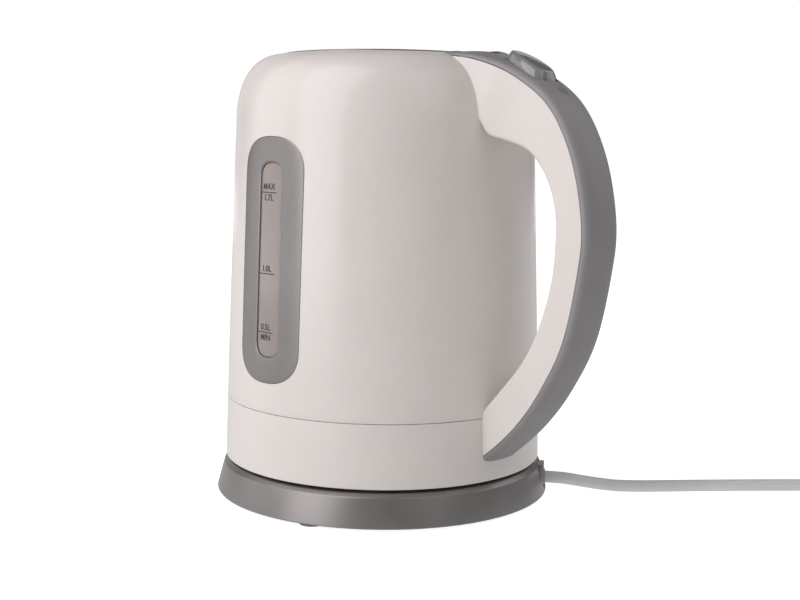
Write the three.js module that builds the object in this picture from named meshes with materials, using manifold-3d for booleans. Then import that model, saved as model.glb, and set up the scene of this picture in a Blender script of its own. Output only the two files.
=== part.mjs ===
// Electric kettle on a round power base, in millimetres, +Z up.
//
// The origin is on the surface that the feet stand on, under the middle of the kettle with its
// handle. +X runs out along the handle, the level gauge faces -Y, and the spout points to -X.
// Every piece is first made about the upright axis of the jug, then the whole assembly is moved
// along X so that the origin is in the middle.

import * as THREE from 'three';
import { LoftGeometry } from 'three/addons/geometries/LoftGeometry.js';
import { mergeVertices } from 'three/addons/utils/BufferGeometryUtils.js';
import Module from 'manifold-3d';

const wasm = await Module();
wasm.setup();

// ---------------------------------------------------------------- driving dimensions

const GAP = 0.3;                 // clearance between neighbouring pieces
const WALL = 2.4;                // moulded plastic wall
const JUG_WALL = 2.6;            // wall of the jug itself
const ROUND = 40;                // sides of a large turned piece
const SMALL_ROUND = 12;          // sides of a small turned piece
const OVERHEAD = 230;            // a height over the whole kettle, where upright cuts end
const SCREW_PILOT = 1.8;         // radius of the hole that a screw cuts its thread in
const SCREW_CLEARANCE = 1.9;     // radius of the hole that a screw passes through

const FOOT_HEIGHT = 1.5;
const BASE_RADIUS = 84.2;
const BASE_TOP_RADIUS = 79.2;
const BASE_TOP = 16.9;
const BASE_PLATE_TOP = 4;
const BASE_SCREW_CIRCLE = 62;
const FOOT_CIRCLE = 76.6;
const FOOT_RADIUS = 6;
const FOOT_STEM_RADIUS = 3.2;
const FOOT_ANGLES = [50, 170, 290];
const BASE_SCREW_ANGLES = [-10, 110, 230];

const JUG_BOTTOM = 18.6;
const JUG_BOTTOM_RADIUS = 79.6;
const SEAM = 48.9;
const SHOULDER = 183;            // where the taper ends and the rounded shoulder starts
const SHOULDER_RADIUS = 73.9;
const RIM_TOP = 217;
const RIM_RADIUS = 51.9;
const TAPER_POWER = 1.2;
const SHOULDER_POWER = 2.3;
const LID_LEDGE = 215.2;
const LID_LEDGE_RADIUS = 46;
const JUG_SCREW_CIRCLE = 72;
const JUG_SCREW_ANGLES = [60, 180, 300];
const UNDERSIDE = 20.6;

const SOCKET_TOP = 27;
const PLUG_FACE = 30;
const CONTROL_BOTTOM = 38.4;
const HEATER_TOP = 57;

const GAUGE_WIDTH = 41;
const GAUGE_LOW = 63;
const GAUGE_HIGH = 177.7;
const GAUGE_END = 17;            // height of the curved end of the gauge
const WINDOW_WIDTH = 15.4;
const WINDOW_LOW = 75.1;
const WINDOW_HIGH = 165.7;
const WINDOW_END = 7;
const GAUGE_END_POWER = 2 / 2.4; // squareness of both ends

const HANDLE_WIDTH = 23.3;
const HANDLE_CORNER = 3.5;
const HANDLE_FLARE = 0.5;        // how much wider the handle is where it meets the shoulder
const FLARE_START = 84;
const FLARE_END = 54.5;

// Line where the white handle meets its grey cover: [distance from the axis, height, thickness
// of the cover there].
const HANDLE_EDGE = [
  [44, 216.3, 1.6],
  [58, 215.0, 2.6],
  [72, 212.5, 3.9],
  [92.5, 204.4, 4.3],
  [111.5, 190.8, 4.6],
  [124, 168.5, 4.7],
  [130, 141, 4.7],
  [128.4, 119, 4.6],
  [121.5, 89, 4.5],
  [109.5, 65.6, 4.2],
  [96.8, 48.4, 3.7],
  [82, 34.2, 3.4],
  [66, 22, 3.3],
];

// Inner edge of the handle, round the finger gap, from the top down.
const FINGER_GAP = [
  [66, 192],
  [72.5, 185.5],
  [77, 179.4],
  [85, 177.2],
  [96.8, 173.8],
  [104, 168.8],
  [110.3, 160.2],
  [114.6, 149],
  [115.7, 137],
  [114.4, 118],
  [109.6, 100],
  [103.5, 85.5],
  [95.5, 73.5],
  [83.5, 59.8],
  [72, 47],
];

const HINGE = [54.5, 211.5];     // lid hinge axis: distance from the jug's axis, height
const KNUCKLE_RADIUS = 6.2;
const KNUCKLE_HALF_WIDTH = 9;
const KNUCKLE_BAY_MARGIN = 3.6;  // room in the handle's cover on each side of the knuckle
const HINGE_PIN_RADIUS = 1.5;
const HINGE_EAR_HALF_WIDTH = 13.5;
const LID_RADIUS = 50.8;
const LID_TOP = 217.8;
const LID_PLATE = 2.2;
const LID_EDGE = 1.2;            // how far the lid's lower edge is cut away, so that it can swing up
const LID_INNER_RADIUS = 44;
const LID_INNER_BOTTOM = 206;

const BUTTON = [66.3, 77];       // lid button: front and back, from the jug's axis
const BUTTON_HALF_WIDTH = 6.2;
const BUTTON_TOP = 217.5;
const BUTTON_BOTTOM = 211.8;
const BUTTON_RELIEF = 1.1;       // how far its lower front edge is cut away over the shoulder
const SPRING_PLACE = 69.5;       // spring under the button, from the jug's axis
const SPRING_RADIUS = 2.2;
const SPRING_POCKET_RADIUS = 3.2;

const ROCKER_PIVOT = [90, 204.5];
const ROCKER_PIN_RADIUS = 1.2;
const ROCKER_MARGIN = 0.6;       // room round the rocker in the handle's cover
const ROCKER_OUTLINE = [         // from the side: distance from the jug's axis, height
  [79.6, 211.4], [79.9, 214.6], [81.6, 217.6], [84, 217.4], [88.6, 216], [94.3, 213.3],
  [98.9, 210.3], [101.7, 207.1], [102.8, 203.6], [101, 200.8], [96, 203.4], [92.5, 201.8],
  [87.5, 201.8], [84, 207.5], [80.4, 209.2],
];
const ROCKER_PLAN = [            // from above: distance from the jug's axis, half width there
  [79.4, 4], [81, 5.6], [85, 6.8], [90, 7.7], [95, 8], [99, 7.4], [101.6, 5.8], [103, 3],
];

const SPOUT_TIP = 84;            // how far the spout reaches from the jug's axis
const SPOUT_ROOT_WIDTH = 34;
const SPOUT_LOW = 186;
const JUG_SPLIT = 181;           // the jug's wall is one solid up to here, its shoulder another

// The mains cord, laid out from the base along the table. Directions are in the jug's frame.
const CORD_RADIUS = 3;
const CORD_ANGLE = 36;           // where the cord leaves the base, from +X towards +Y
const CORD_LAY_ANGLE = 45;       // direction of the straight stretch across the table
const CORD_EXIT_HEIGHT = 8;
const COIL_RADIUS = 36;
const COIL_TURNS = 2.25;
const COIL_CENTRE = [252, -43];  // along the lay direction, and to its left

// Route of the loose cord: [along the lay direction, to its left, height].
const CORD_RUN = [
  [82.2, -13, 8], [92, -14.0, 7.5], [100, -14.2, 6.3], [110, -13.8, 4.7], [120, -13.0, 3.5],
  [131, -12.0, 3.05], [145, -11, 3], [162, -9.8, 3], [180, -8.7, 3], [198, -7.8, 3],
  [215, -7.2, 3], [230.6, -7.0, 3],
];
const CORD_TAIL = [
  [288, -64.4, 14.6], [288.4, -73, 11.4], [289, -82, 7.2], [289.8, -91, 4.2], [290.9, -100, 3.1],
  [292.2, -108, 3.3], [293, -112.8, 3.9],
];
const PLUG_START = [293, -113.2, 4.3];
const PLUG_HEADING = [0.14, -1];
const PLUG_TILT = 17.4;

// ---------------------------------------------------------------- colours

const FINISH = {
  white: { color: 0xe9e5e2, roughness: 0.2, metalness: 0 },
  grey: { color: 0x9a9698, roughness: 0.35, metalness: 0 },
  darkGrey: { color: 0x5c5a5d, roughness: 0.5, metalness: 0 },
  black: { color: 0x1c1c1e, roughness: 0.6, metalness: 0 },
  clear: { color: 0xb4aca6, roughness: 0.1, metalness: 0 },
  smoke: { color: 0xa5a3a6, roughness: 0.1, metalness: 0 },
  cord: { color: 0xb9b5ba, roughness: 0.55, metalness: 0 },
  steel: { color: 0xc6c6c8, roughness: 0.3, metalness: 1 },
  brass: { color: 0xc9a65a, roughness: 0.35, metalness: 1 },
  rubber: { color: 0x46464a, roughness: 0.8, metalness: 0 },
};

// ---------------------------------------------------------------- solids

const MERGE_DISTANCE = 1e-4;

// A closed geometry as a manifold solid, with its faces turned outwards.
function solidOf(geometry) {
  const bare = geometry.index ? geometry.toNonIndexed() : geometry.clone();
  for (const name of Object.keys(bare.attributes)) {
    if (name !== 'position') bare.deleteAttribute(name);
  }
  const merged = mergeVertices(bare, MERGE_DISTANCE);
  const points = merged.attributes.position.array;
  const index = merged.index.array;
  const corner = (i) => new THREE.Vector3().fromArray(points, 3 * i);
  const faces = [];
  let volume = 0;
  for (let i = 0; i < index.length; i += 3) {
    const [a, b, c] = [index[i], index[i + 1], index[i + 2]];
    if (a === b || b === c || c === a) continue;
    faces.push(a, b, c);
    volume += corner(a).dot(corner(b).cross(corner(c)));
  }
  if (volume < 0) faces.reverse();
  return new wasm.Manifold(new wasm.Mesh({
    numProp: 3,
    vertProperties: Float32Array.from(points),
    triVerts: Uint32Array.from(faces),
  }));
}

// A manifold solid as a three.js geometry.
function geometryOf(solid) {
  const mesh = solid.getMesh();
  const geometry = new THREE.BufferGeometry();
  geometry.setAttribute('position', new THREE.BufferAttribute(Float32Array.from(mesh.vertProperties), 3));
  geometry.setIndex(new THREE.BufferAttribute(Uint32Array.from(mesh.triVerts), 1));
  geometry.computeVertexNormals();
  return geometry;
}

// A profile of [radius, height] points turned about the upright axis.
function turned(profile, sides = ROUND) {
  const points = profile.map(([r, z]) => new THREE.Vector2(r, z));
  const open = profile[0][0] > 0 || profile[profile.length - 1][0] > 0;
  if (open) points.push(points[0].clone());
  return solidOf(new THREE.LatheGeometry(points, sides).rotateX(Math.PI / 2));
}

// An upright bar between two heights.
function bar(radius, low, high, sides = SMALL_ROUND) {
  return turned([[0, low], [radius, low], [radius, high], [0, high]], sides);
}

// An upright tube between two heights.
function tube(inner, outer, low, high, sides = ROUND) {
  return turned([[inner, low], [outer, low], [outer, high], [inner, high]], sides);
}

// A block between two corners.
function block(low, high) {
  const size = high.map((value, i) => value - low[i]);
  const middle = high.map((value, i) => (value + low[i]) / 2);
  return solidOf(new THREE.BoxGeometry(...size).translate(...middle));
}

function outline(points) {
  return new THREE.Shape(points.map(([x, y]) => new THREE.Vector2(x, y)));
}

// An upright outline in the handle's plane, given a width across it.
function slabGeometry(points, width) {
  const geometry = new THREE.ExtrudeGeometry(outline(points), { depth: width, bevelEnabled: false });
  return geometry.translate(0, 0, -width / 2).rotateX(Math.PI / 2);
}

function slab(points, width) {
  return solidOf(slabGeometry(points, width));
}

// The same, with rounded long edges. shapeAt gives the outline drawn in by a distance.
function roundedSlabGeometry(width, corner, shapeAt) {
  const sections = [];
  for (const side of [-1, 1]) {
    for (const step of side < 0 ? [0, 0.5, 1] : [1, 0.5, 0]) {
      const turn = (step * Math.PI) / 2;
      const across = side * (width / 2 - corner * (1 - Math.cos(turn)));
      const points = shapeAt(corner * (1 - Math.sin(turn)));
      sections.push(points.map(([x, z]) => new THREE.Vector3(x, across, z)));
    }
  }
  return new LoftGeometry(sections, { capStart: true, capEnd: true });
}

// A bar along Y through a point of the handle's plane.
function crossBar([x, z], radius, halfWidth, sides = SMALL_ROUND) {
  const geometry = new THREE.CylinderGeometry(radius, radius, 2 * halfWidth, sides);
  return solidOf(geometry.translate(x, 0, z));
}

// A round section swept along a smooth route of points.
function swept(route, radius, steps, sides = 8) {
  const curve = new THREE.CatmullRomCurve3(route.map((p) => new THREE.Vector3(...p)));
  const ring = [];
  for (let i = 0; i < sides; i += 1) {
    const angle = (2 * Math.PI * (i + 0.5)) / sides;
    ring.push([radius * Math.cos(angle), radius * Math.sin(angle)]);
  }
  const settings = { steps, extrudePath: curve, bevelEnabled: false };
  return solidOf(new THREE.ExtrudeGeometry(outline(ring), settings));
}

function around(angle, radius, height = 0) {
  const turn = THREE.MathUtils.degToRad(angle);
  return [radius * Math.cos(turn), radius * Math.sin(turn), height];
}

// ---------------------------------------------------------------- shape of the jug

// Outer radius of the jug at a height, grown by an offset.
function jugRadius(z, offset = 0) {
  if (z <= SHOULDER) {
    const part = Math.max(z - JUG_BOTTOM, 0) / (SHOULDER - JUG_BOTTOM);
    return JUG_BOTTOM_RADIUS - (JUG_BOTTOM_RADIUS - SHOULDER_RADIUS) * part ** TAPER_POWER + offset;
  }
  const part = Math.min((z - SHOULDER) / (RIM_TOP + offset - SHOULDER), 1);
  const reach = SHOULDER_RADIUS - RIM_RADIUS + offset;
  return RIM_RADIUS + reach * (1 - part ** SHOULDER_POWER) ** (1 / SHOULDER_POWER);
}

// Points up the jug's side, from one height to the top of the shoulder.
function jugSide(low, offset = 0, straight = 5, bends = 7) {
  const points = [];
  for (let i = 0; i < straight; i += 1) {
    const z = low + ((SHOULDER - low) * i) / straight;
    points.push([jugRadius(z, offset), z]);
  }
  for (let i = 0; i <= bends; i += 1) {
    const rise = Math.sin((i * Math.PI) / (2 * bends)) ** (2 / SHOULDER_POWER);
    const z = SHOULDER + (RIM_TOP + offset - SHOULDER) * rise;
    points.push([jugRadius(z, offset), z]);
  }
  return points;
}

// The jug filled solid, a little larger, which the handle is cut back to.
function jugCore(offset) {
  return turned([[0, 5], [jugRadius(5, offset), 5], ...jugSide(JUG_BOTTOM, offset),
    [0, RIM_TOP + offset]]);
}

// ---------------------------------------------------------------- power base

function baseCover() {
  const slope = (BASE_TOP_RADIUS - BASE_RADIUS) / (BASE_TOP - FOOT_HEIGHT);
  const shell = turned([
    [BASE_RADIUS, FOOT_HEIGHT], [BASE_TOP_RADIUS + 1 - 0.2 * slope, BASE_TOP - 1.2],
    [BASE_TOP_RADIUS, BASE_TOP], [71, BASE_TOP], [68.5, 14.6], [25, 14.6], [23.5, 17.5],
    [19, 17.5], [19, 15.3], [22.3, 15.3], [23.8, 12.4], [69.4, 12.4], [71.8, 14.7],
    [77.8, 14.7], [BASE_RADIUS - 2.3, FOOT_HEIGHT],
  ]);
  const posts = BASE_SCREW_ANGLES.map((angle) => bar(4.2, BASE_PLATE_TOP + GAP, 13)
    .subtract(bar(SCREW_PILOT, 0, 12)).translate(around(angle, BASE_SCREW_CIRCLE)));
  const notch = block([66, -6.3, 4.2], [90, 6.3, 15.9]).rotate([0, 0, CORD_ANGLE]);
  return posts.reduce((whole, post) => whole.add(post), shell).subtract(notch);
}

function basePlate() {
  let plate = bar(80.8, FOOT_HEIGHT, BASE_PLATE_TOP, ROUND);
  for (const angle of FOOT_ANGLES) {
    const pocket = bar(FOOT_STEM_RADIUS + GAP, 0, 3.3).translate(around(angle, FOOT_CIRCLE));
    plate = plate.subtract(pocket);
  }
  for (const angle of BASE_SCREW_ANGLES) {
    const hole = bar(SCREW_CLEARANCE, 0, 9).add(bar(3.4, 0, 2.9));
    plate = plate.subtract(hole.translate(around(angle, BASE_SCREW_CIRCLE)));
  }
  return plate;
}

// A round pad under the rim of the base, with a stem that holds it in the plate.
function foot() {
  const padTop = FOOT_HEIGHT - GAP;
  return turned([[0, 0], [FOOT_RADIUS - 0.4, 0], [FOOT_RADIUS, 0.4], [FOOT_RADIUS, padTop],
    [FOOT_STEM_RADIUS, padTop], [FOOT_STEM_RADIUS, 3], [0, 3]], 24);
}

function screw(head) {
  return turned([[0, 0], [head - 0.4, 0], [head, 0.4], [head, 1.2], [1.5, 1.2], [1.5, 9],
    [0, 9.8]], 12);
}

function connectorSocket() {
  const low = BASE_PLATE_TOP + GAP;
  return turned([[0, low], [21.5, low], [21.5, 11.5], [17.5, 11.5], [17.5, SOCKET_TOP - 1],
    [16.5, SOCKET_TOP], [13, SOCKET_TOP], [13, 15], [9, 15], [9, SOCKET_TOP],
    [3.4, SOCKET_TOP], [3.4, 13], [0, 13]], 24);
}

// The block where the cord leaves the base, with a tapered sleeve inside the housing.
function cordGland() {
  const outer = new THREE.CylinderGeometry(5.2, 4, 20, SMALL_ROUND);
  const sleeve = solidOf(outer.rotateZ(-Math.PI / 2).translate(67, 0, CORD_EXIT_HEIGHT))
    .intersect(block([50, -9, BASE_PLATE_TOP + GAP], [90, 9, 12.1]));
  const boss = block([76, -6, 4.5], [82.8, 6, 15.1]);
  const groove = block([78.2, -7, 4.3], [80.8, -4.6, 16]);
  const bore = new THREE.CylinderGeometry(3.3, 3.3, 20, SMALL_ROUND).rotateZ(Math.PI / 2);
  return sleeve.add(boss).subtract(groove).subtract(groove.mirror([0, 1, 0]))
    .subtract(solidOf(bore.translate(64, 0, CORD_EXIT_HEIGHT))).rotate([0, 0, CORD_ANGLE]);
}

// The end of the cord inside the base, from the gland to the socket.
function innerLead() {
  const [near, far] = [26, 73];
  const route = [near, 38, 50, 62, far].map((r) => around(CORD_ANGLE, r, CORD_EXIT_HEIGHT));
  return swept(route, 2.9, 6);
}

function cordClamp() {
  const bridge = block([44, -9, 4.3], [52, 9, 11.6]);
  return bridge.subtract(block([40, -3.3, 4], [60, 3.3, 11])).rotate([0, 0, CORD_ANGLE]);
}

// ---------------------------------------------------------------- mains cord

// A point of the cord's own layout, turned into the jug's frame.
function laid([along, left, height]) {
  const turn = THREE.MathUtils.degToRad(CORD_LAY_ANGLE);
  return [along * Math.cos(turn) - left * Math.sin(turn),
    along * Math.sin(turn) + left * Math.cos(turn), height];
}

function cordCoil() {
  const height = 2 * CORD_RADIUS * (COIL_TURNS + 1);
  const ring = turned([
    [COIL_RADIUS - CORD_RADIUS, 1], [COIL_RADIUS - CORD_RADIUS + 1, 0],
    [COIL_RADIUS + CORD_RADIUS - 1, 0], [COIL_RADIUS + CORD_RADIUS, 1],
    [COIL_RADIUS + CORD_RADIUS, height - 1], [COIL_RADIUS + CORD_RADIUS - 1, height],
    [COIL_RADIUS - CORD_RADIUS + 1, height], [COIL_RADIUS - CORD_RADIUS, height - 1],
  ], 32);
  return ring.translate(laid([...COIL_CENTRE, 0]));
}

// Moves a piece that points along +X onto the plug's place on the table.
function onPlug(solid) {
  const heading = THREE.MathUtils.radToDeg(Math.atan2(PLUG_HEADING[1], PLUG_HEADING[0]));
  return solid.rotate([0, -PLUG_TILT, heading + CORD_LAY_ANGLE]).translate(laid(PLUG_START));
}

// An upright turned piece, laid down to point along +X.
function pointing(solid) {
  return solid.rotate([0, 90, 0]);
}

function plugBody() {
  const profile = [[0, 0], [4, 0], [6.2, 24], [9, 26.5], [12.5, 40], [17.8, 44], [18.6, 46],
    [18.6, 56], [17.6, 57.5], [0, 57.5]];
  const pinHoles = [-9.5, 9.5].map((y) => pointing(bar(2.7, 47.5, 60)).translate([0, y, 0]));
  const flats = [-1, 1].map((side) => block([45.5, -4, side > 0 ? 17.2 : -20],
    [60, 4, side > 0 ? 20 : -17.2]));
  return [...pinHoles, ...flats].reduce((body, cut) => body.subtract(cut),
    pointing(turned(profile, 24)));
}

function plugPin(side) {
  const pin = turned([[0, 48], [2.4, 48], [2.4, 75.5], [1.4, 76.8], [0, 76.8]], 12);
  return pointing(pin).translate([0, 9.5 * side, 0]);
}

function plugEarthClip(side) {
  const [low, high] = side > 0 ? [17.5, 18.5] : [-18.5, -17.5];
  return block([47, -3, low], [57, 3, high]);
}

// ---------------------------------------------------------------- connector under the jug

function connectorPlug() {
  return turned([[0, PLUG_FACE + 3.6], [2.2, PLUG_FACE + 3.6], [2.2, PLUG_FACE],
    [10.4, PLUG_FACE], [10.4, 16.5], [11.6, 16.5], [11.6, PLUG_FACE], [24, PLUG_FACE],
    [24, CONTROL_BOTTOM - GAP], [0, CONTROL_BOTTOM - GAP]], 24);
}

function linePin() {
  return turned([[0, 15], [1, 15], [1.9, 16.4], [1.9, PLUG_FACE + 3.3], [0, PLUG_FACE + 3.3]], 12);
}

// ---------------------------------------------------------------- lower housing of the jug

function bottomHousing() {
  const seamLow = SEAM - GAP / 2;
  const outer = [JUG_BOTTOM, 34, seamLow].map((z) => [jugRadius(z), z]);
  const inner = [seamLow, JUG_BOTTOM].map((z) => [jugRadius(z, -WALL), z]);
  const skirt = turned([...outer, ...inner]);
  const posts = JUG_SCREW_ANGLES.map((angle) => bar(5.6, UNDERSIDE + WALL + GAP, 34)
    .subtract(bar(SCREW_PILOT, 20, 33)).translate(around(angle, JUG_SCREW_CIRCLE)));
  const wirePort = block([68, -5.5, 36], [90, 5.5, 44]);
  return posts.reduce((whole, post) => whole.add(post), skirt).subtract(wirePort);
}

function undersideCover() {
  const plate = tube(19.5, 76.6, UNDERSIDE, UNDERSIDE + WALL);
  return JUG_SCREW_ANGLES.reduce((rest, angle) => rest
    .subtract(bar(SCREW_CLEARANCE, 18, 26).translate(around(angle, JUG_SCREW_CIRCLE))), plate);
}

function controlUnit() {
  return turned([[0, CONTROL_BOTTOM], [21, CONTROL_BOTTOM], [21, 47], [18, 49.4], [0, 49.4]], 24);
}

function heatingElement() {
  return tube(42, 52, 50.6, 54.7, 36);
}

function heaterPlate() {
  return turned([[0, HEATER_TOP - 2], [73.4, HEATER_TOP - 2], [73.4, HEATER_TOP - 0.8],
    [72.6, HEATER_TOP], [0, HEATER_TOP]]);
}

function plateSeal() {
  return tube(73.7, jugRadius(56, -WALL) - 0.6, 52.2, 56.4);
}

// ---------------------------------------------------------------- jug

// An upright slot whose curved ends, of a given height, are a little squarer than an ellipse.
function slotOutline(width, low, high, end) {
  const steps = 12;
  const points = [];
  for (const [middle, way] of [[high - end, 1], [low + end, -1]]) {
    for (let k = 0; k <= steps; k += 1) {
      const turn = Math.PI * k / steps;
      const share = Math.abs(Math.cos(turn)) ** GAUGE_END_POWER * Math.sign(Math.cos(turn));
      const rise = Math.abs(Math.sin(turn)) ** GAUGE_END_POWER * end;
      points.push([way * share * width / 2, middle + way * rise]);
    }
  }
  return outline(points);
}

// The gauge's slot on the -Y side, smaller all round by a margin.
function gaugeBlock(margin, near, far) {
  const slot = slotOutline(GAUGE_WIDTH - 2 * margin, GAUGE_LOW + margin, GAUGE_HIGH - margin,
    GAUGE_END - margin);
  return slotBlock(slot, near, far);
}

// The slot of the gauge's window, smaller all round by a margin.
function windowBlock(margin, near, far) {
  const slot = slotOutline(WINDOW_WIDTH - 2 * margin, WINDOW_LOW + margin, WINDOW_HIGH - margin,
    WINDOW_END - margin);
  return slotBlock(slot, near, far);
}

// An outline on the -Y side, cut from one distance to another.
function slotBlock(shape, near, far) {
  const geometry = new THREE.ExtrudeGeometry(shape, { depth: far - near, bevelEnabled: false });
  return solidOf(geometry.rotateX(Math.PI / 2).translate(0, -near, 0));
}

// The spout: a pointed plan cut to a side outline that runs down into the jug's wall.
function spoutBlock(shrink, low, high) {
  const root = SPOUT_ROOT_WIDTH / 2 - shrink;
  const tip = SPOUT_TIP - shrink;
  const plan = outline([[-56, root], [-66, root], [-tip + 5, 5.5 - shrink / 2], [-tip + 1, 2.6],
    [-tip, 0], [-tip + 1, -2.6], [-tip + 5, -5.5 + shrink / 2], [-66, -root], [-56, -root]]);
  const column = new THREE.ExtrudeGeometry(plan, { depth: 60, bevelEnabled: false });
  const side = slab([[-56, high], [-tip - 5, high], [-tip - 5, high - 4], [-tip, high - 6],
    [-75 + shrink, low + 8], [-70 + shrink, low], [-56, low]], 60);
  return solidOf(column.translate(0, 0, 170)).intersect(side);
}

// The jug's upright wall, with the slot for the level gauge.
function jugBody() {
  const heights = [SEAM + GAP / 2, 80, 115, 150, JUG_SPLIT - GAP / 2];
  const outer = heights.map((z) => [jugRadius(z), z]);
  const inner = heights.map((z) => [jugRadius(z, -JUG_WALL), z]);
  return turned([...outer, ...inner.reverse()])
    .subtract(gaugeBlock(0, 60, 90));
}

// The jug's shoulder, with the spout, the ledge that the lid rests on and the lid's hinge.
function jugShoulder() {
  const low = JUG_SPLIT + GAP / 2;
  const inside = jugSide(low, -JUG_WALL, 1).filter(([, z]) => z < LID_LEDGE - 3);
  const shell = turned([
    ...jugSide(low, 0, 1), [LID_RADIUS + 0.5, RIM_TOP], [LID_RADIUS + 0.5, LID_LEDGE],
    [LID_LEDGE_RADIUS, LID_LEDGE], [LID_LEDGE_RADIUS, LID_LEDGE - 2.2], [57, LID_LEDGE - 2.2],
    ...inside.reverse(),
  ]);
  const ears = block([49, -HINGE_EAR_HALF_WIDTH, 207], [60, HINGE_EAR_HALF_WIDTH, 214.5]);
  const springPocket = bar(SPRING_POCKET_RADIUS, 208.2, 215).translate([SPRING_PLACE, 0, 0]);
  const bayHalf = KNUCKLE_HALF_WIDTH + 2 * GAP;
  const hingeBay = block([40, -bayHalf, 203], [61.5, bayHalf, OVERHEAD]);
  const filled = shell.add(spoutBlock(0, SPOUT_LOW, RIM_TOP).subtract(jugCore(-JUG_WALL)))
    .add(ears.intersect(jugCore(-0.5)));
  return filled
    .subtract(hingeBay)
    .subtract(springPocket)
    .subtract(crossBar(HINGE, HINGE_PIN_RADIUS + GAP, 13))
    .subtract(spoutBlock(WALL, SPOUT_LOW + 7, RIM_TOP + 5));
}

// The grey surround of the gauge: flush with the jug, falling away a little to the window.
function gaugeFrame() {
  const skin = jugCore(0).subtract(jugCore(-5));
  return skin.intersect(gaugeBlock(GAP, 50, 90)).subtract(windowBlock(0, 50, 90));
}

function gaugeWindow() {
  return windowBlock(GAP, 50, 90).intersect(jugCore(-1.2).subtract(jugCore(-4)));
}

function filterFrame() {
  const frame = block([-61, -15, 188], [-58.6, 15, 209.4]);
  return frame.subtract(block([-65, -12, 190.5], [-50, 12, 208]));
}

function filterMesh() {
  return block([-60.2, -11.7, 190.8], [-59.4, 11.7, 207.7]);
}

// ---------------------------------------------------------------- handle

const EDGE_STEPS = 26;
const GAP_STEPS = 22;

function spline(points, steps) {
  const curve = new THREE.SplineCurve(points.map(([x, y]) => new THREE.Vector2(x, y)));
  return curve.getPoints(steps).map((p) => [p.x, p.y]);
}

// Points moved sideways from a line, to its left as it runs, by a distance at each point.
function beside(points, distance) {
  return points.map(([x, y], i) => {
    const before = points[Math.max(i - 1, 0)];
    const after = points[Math.min(i + 1, points.length - 1)];
    const [dx, dy] = [after[0] - before[0], after[1] - before[1]];
    const length = Math.hypot(dx, dy);
    return [x - (dy / length) * distance(i), y + (dx / length) * distance(i)];
  });
}

const edge = spline(HANDLE_EDGE, EDGE_STEPS);
const thickness = spline(HANDLE_EDGE.map(([, , t], i) => [i, t]), EDGE_STEPS);
const fingerGap = spline(FINGER_GAP, GAP_STEPS);
const crown = beside(edge, (i) => thickness[i][1]);
const HANDLE_REACH = Math.max(...crown.map(([x]) => x));

// Widens a piece of the handle towards the shoulder of the jug.
function flared(geometry) {
  const places = geometry.attributes.position;
  for (let i = 0; i < places.count; i += 1) {
    const amount = THREE.MathUtils.smoothstep(-places.getX(i), -FLARE_START, -FLARE_END);
    places.setY(i, places.getY(i) * (1 + HANDLE_FLARE * amount));
  }
  return solidOf(geometry);
}

// The handle's side outline: from an outer line in to the jug, round the finger gap.
function sideOutline(outer, inner) {
  return [...outer, [58, 22], [58, 44], ...inner.slice().reverse(), [58, 195], [44, 205]];
}

function handleShell() {
  const whole = flared(slabGeometry(sideOutline(edge, fingerGap), HANDLE_WIDTH));
  const hollow = sideOutline(beside(edge, () => 6), beside(fingerGap, () => WALL));
  const channel = flared(slabGeometry(hollow, HANDLE_WIDTH - 2 * WALL));
  return whole.subtract(channel).subtract(jugCore(GAP));
}

function handleCover() {
  const inner = beside(fingerGap, () => 8);
  const whole = flared(roundedSlabGeometry(HANDLE_WIDTH, HANDLE_CORNER,
    (inset) => sideOutline(beside(crown, () => -inset), inner)));
  const shellSide = sideOutline(beside(edge, () => GAP), fingerGap);
  const roof = beside(crown, (i) => -Math.min(WALL, thickness[i][1] - 1.4));
  const channel = flared(slabGeometry(sideOutline(roof, inner), HANDLE_WIDTH - 2 * WALL));
  const rockerSlot = rockerBlock(ROCKER_MARGIN);
  const buttonSlot = block([BUTTON[0] - 0.5, -BUTTON_HALF_WIDTH - 0.5, 200],
    [BUTTON[1] + 0.5, BUTTON_HALF_WIDTH + 0.5, OVERHEAD]);
  const bayHalf = KNUCKLE_HALF_WIDTH + KNUCKLE_BAY_MARGIN;
  const knuckleBay = block([40, -bayHalf, 200], [61.3, bayHalf, OVERHEAD]);
  return whole
    .subtract(solidOf(slabGeometry(shellSide, 60)))
    .subtract(channel)
    .subtract(jugCore(GAP))
    .subtract(bar(54, 200, OVERHEAD, ROUND))
    .subtract(knuckleBay)
    .subtract(rockerSlot)
    .subtract(buttonSlot);
}

// The rocker's plan as an upright block, grown by a margin all round.
function rockerBlock(margin) {
  const low = 195;
  const middle = (ROCKER_PLAN[0][0] + ROCKER_PLAN.at(-1)[0]) / 2;
  const side = ROCKER_PLAN.map(([x, half]) => [x + margin * Math.sign(x - middle), half + margin]);
  const plan = outline([...side, ...side.map(([x, half]) => [x, -half]).reverse()]);
  const column = new THREE.ExtrudeGeometry(plan, { depth: OVERHEAD - low, bevelEnabled: false });
  return solidOf(column.translate(0, 0, low));
}

function switchRocker() {
  const body = slab(ROCKER_OUTLINE, 30).intersect(rockerBlock(0));
  return body.subtract(crossBar(ROCKER_PIVOT, ROCKER_PIN_RADIUS + GAP, 12));
}

function steamSwitch() {
  return block([84, -7.5, 184], [99, 7.5, 197.6]);
}

// A thin snap disc standing upright, facing the jug.
function steamBimetal() {
  const disc = new THREE.CylinderGeometry(6.5, 6.5, 0.9, SMALL_ROUND).rotateZ(Math.PI / 2);
  return solidOf(disc.translate(82.6, 0, 191));
}

function switchLamp() {
  const lamp = new THREE.CapsuleGeometry(1.9, 6, 3, 10);
  return solidOf(lamp.translate(81.2, 0, 203.4));
}

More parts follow.
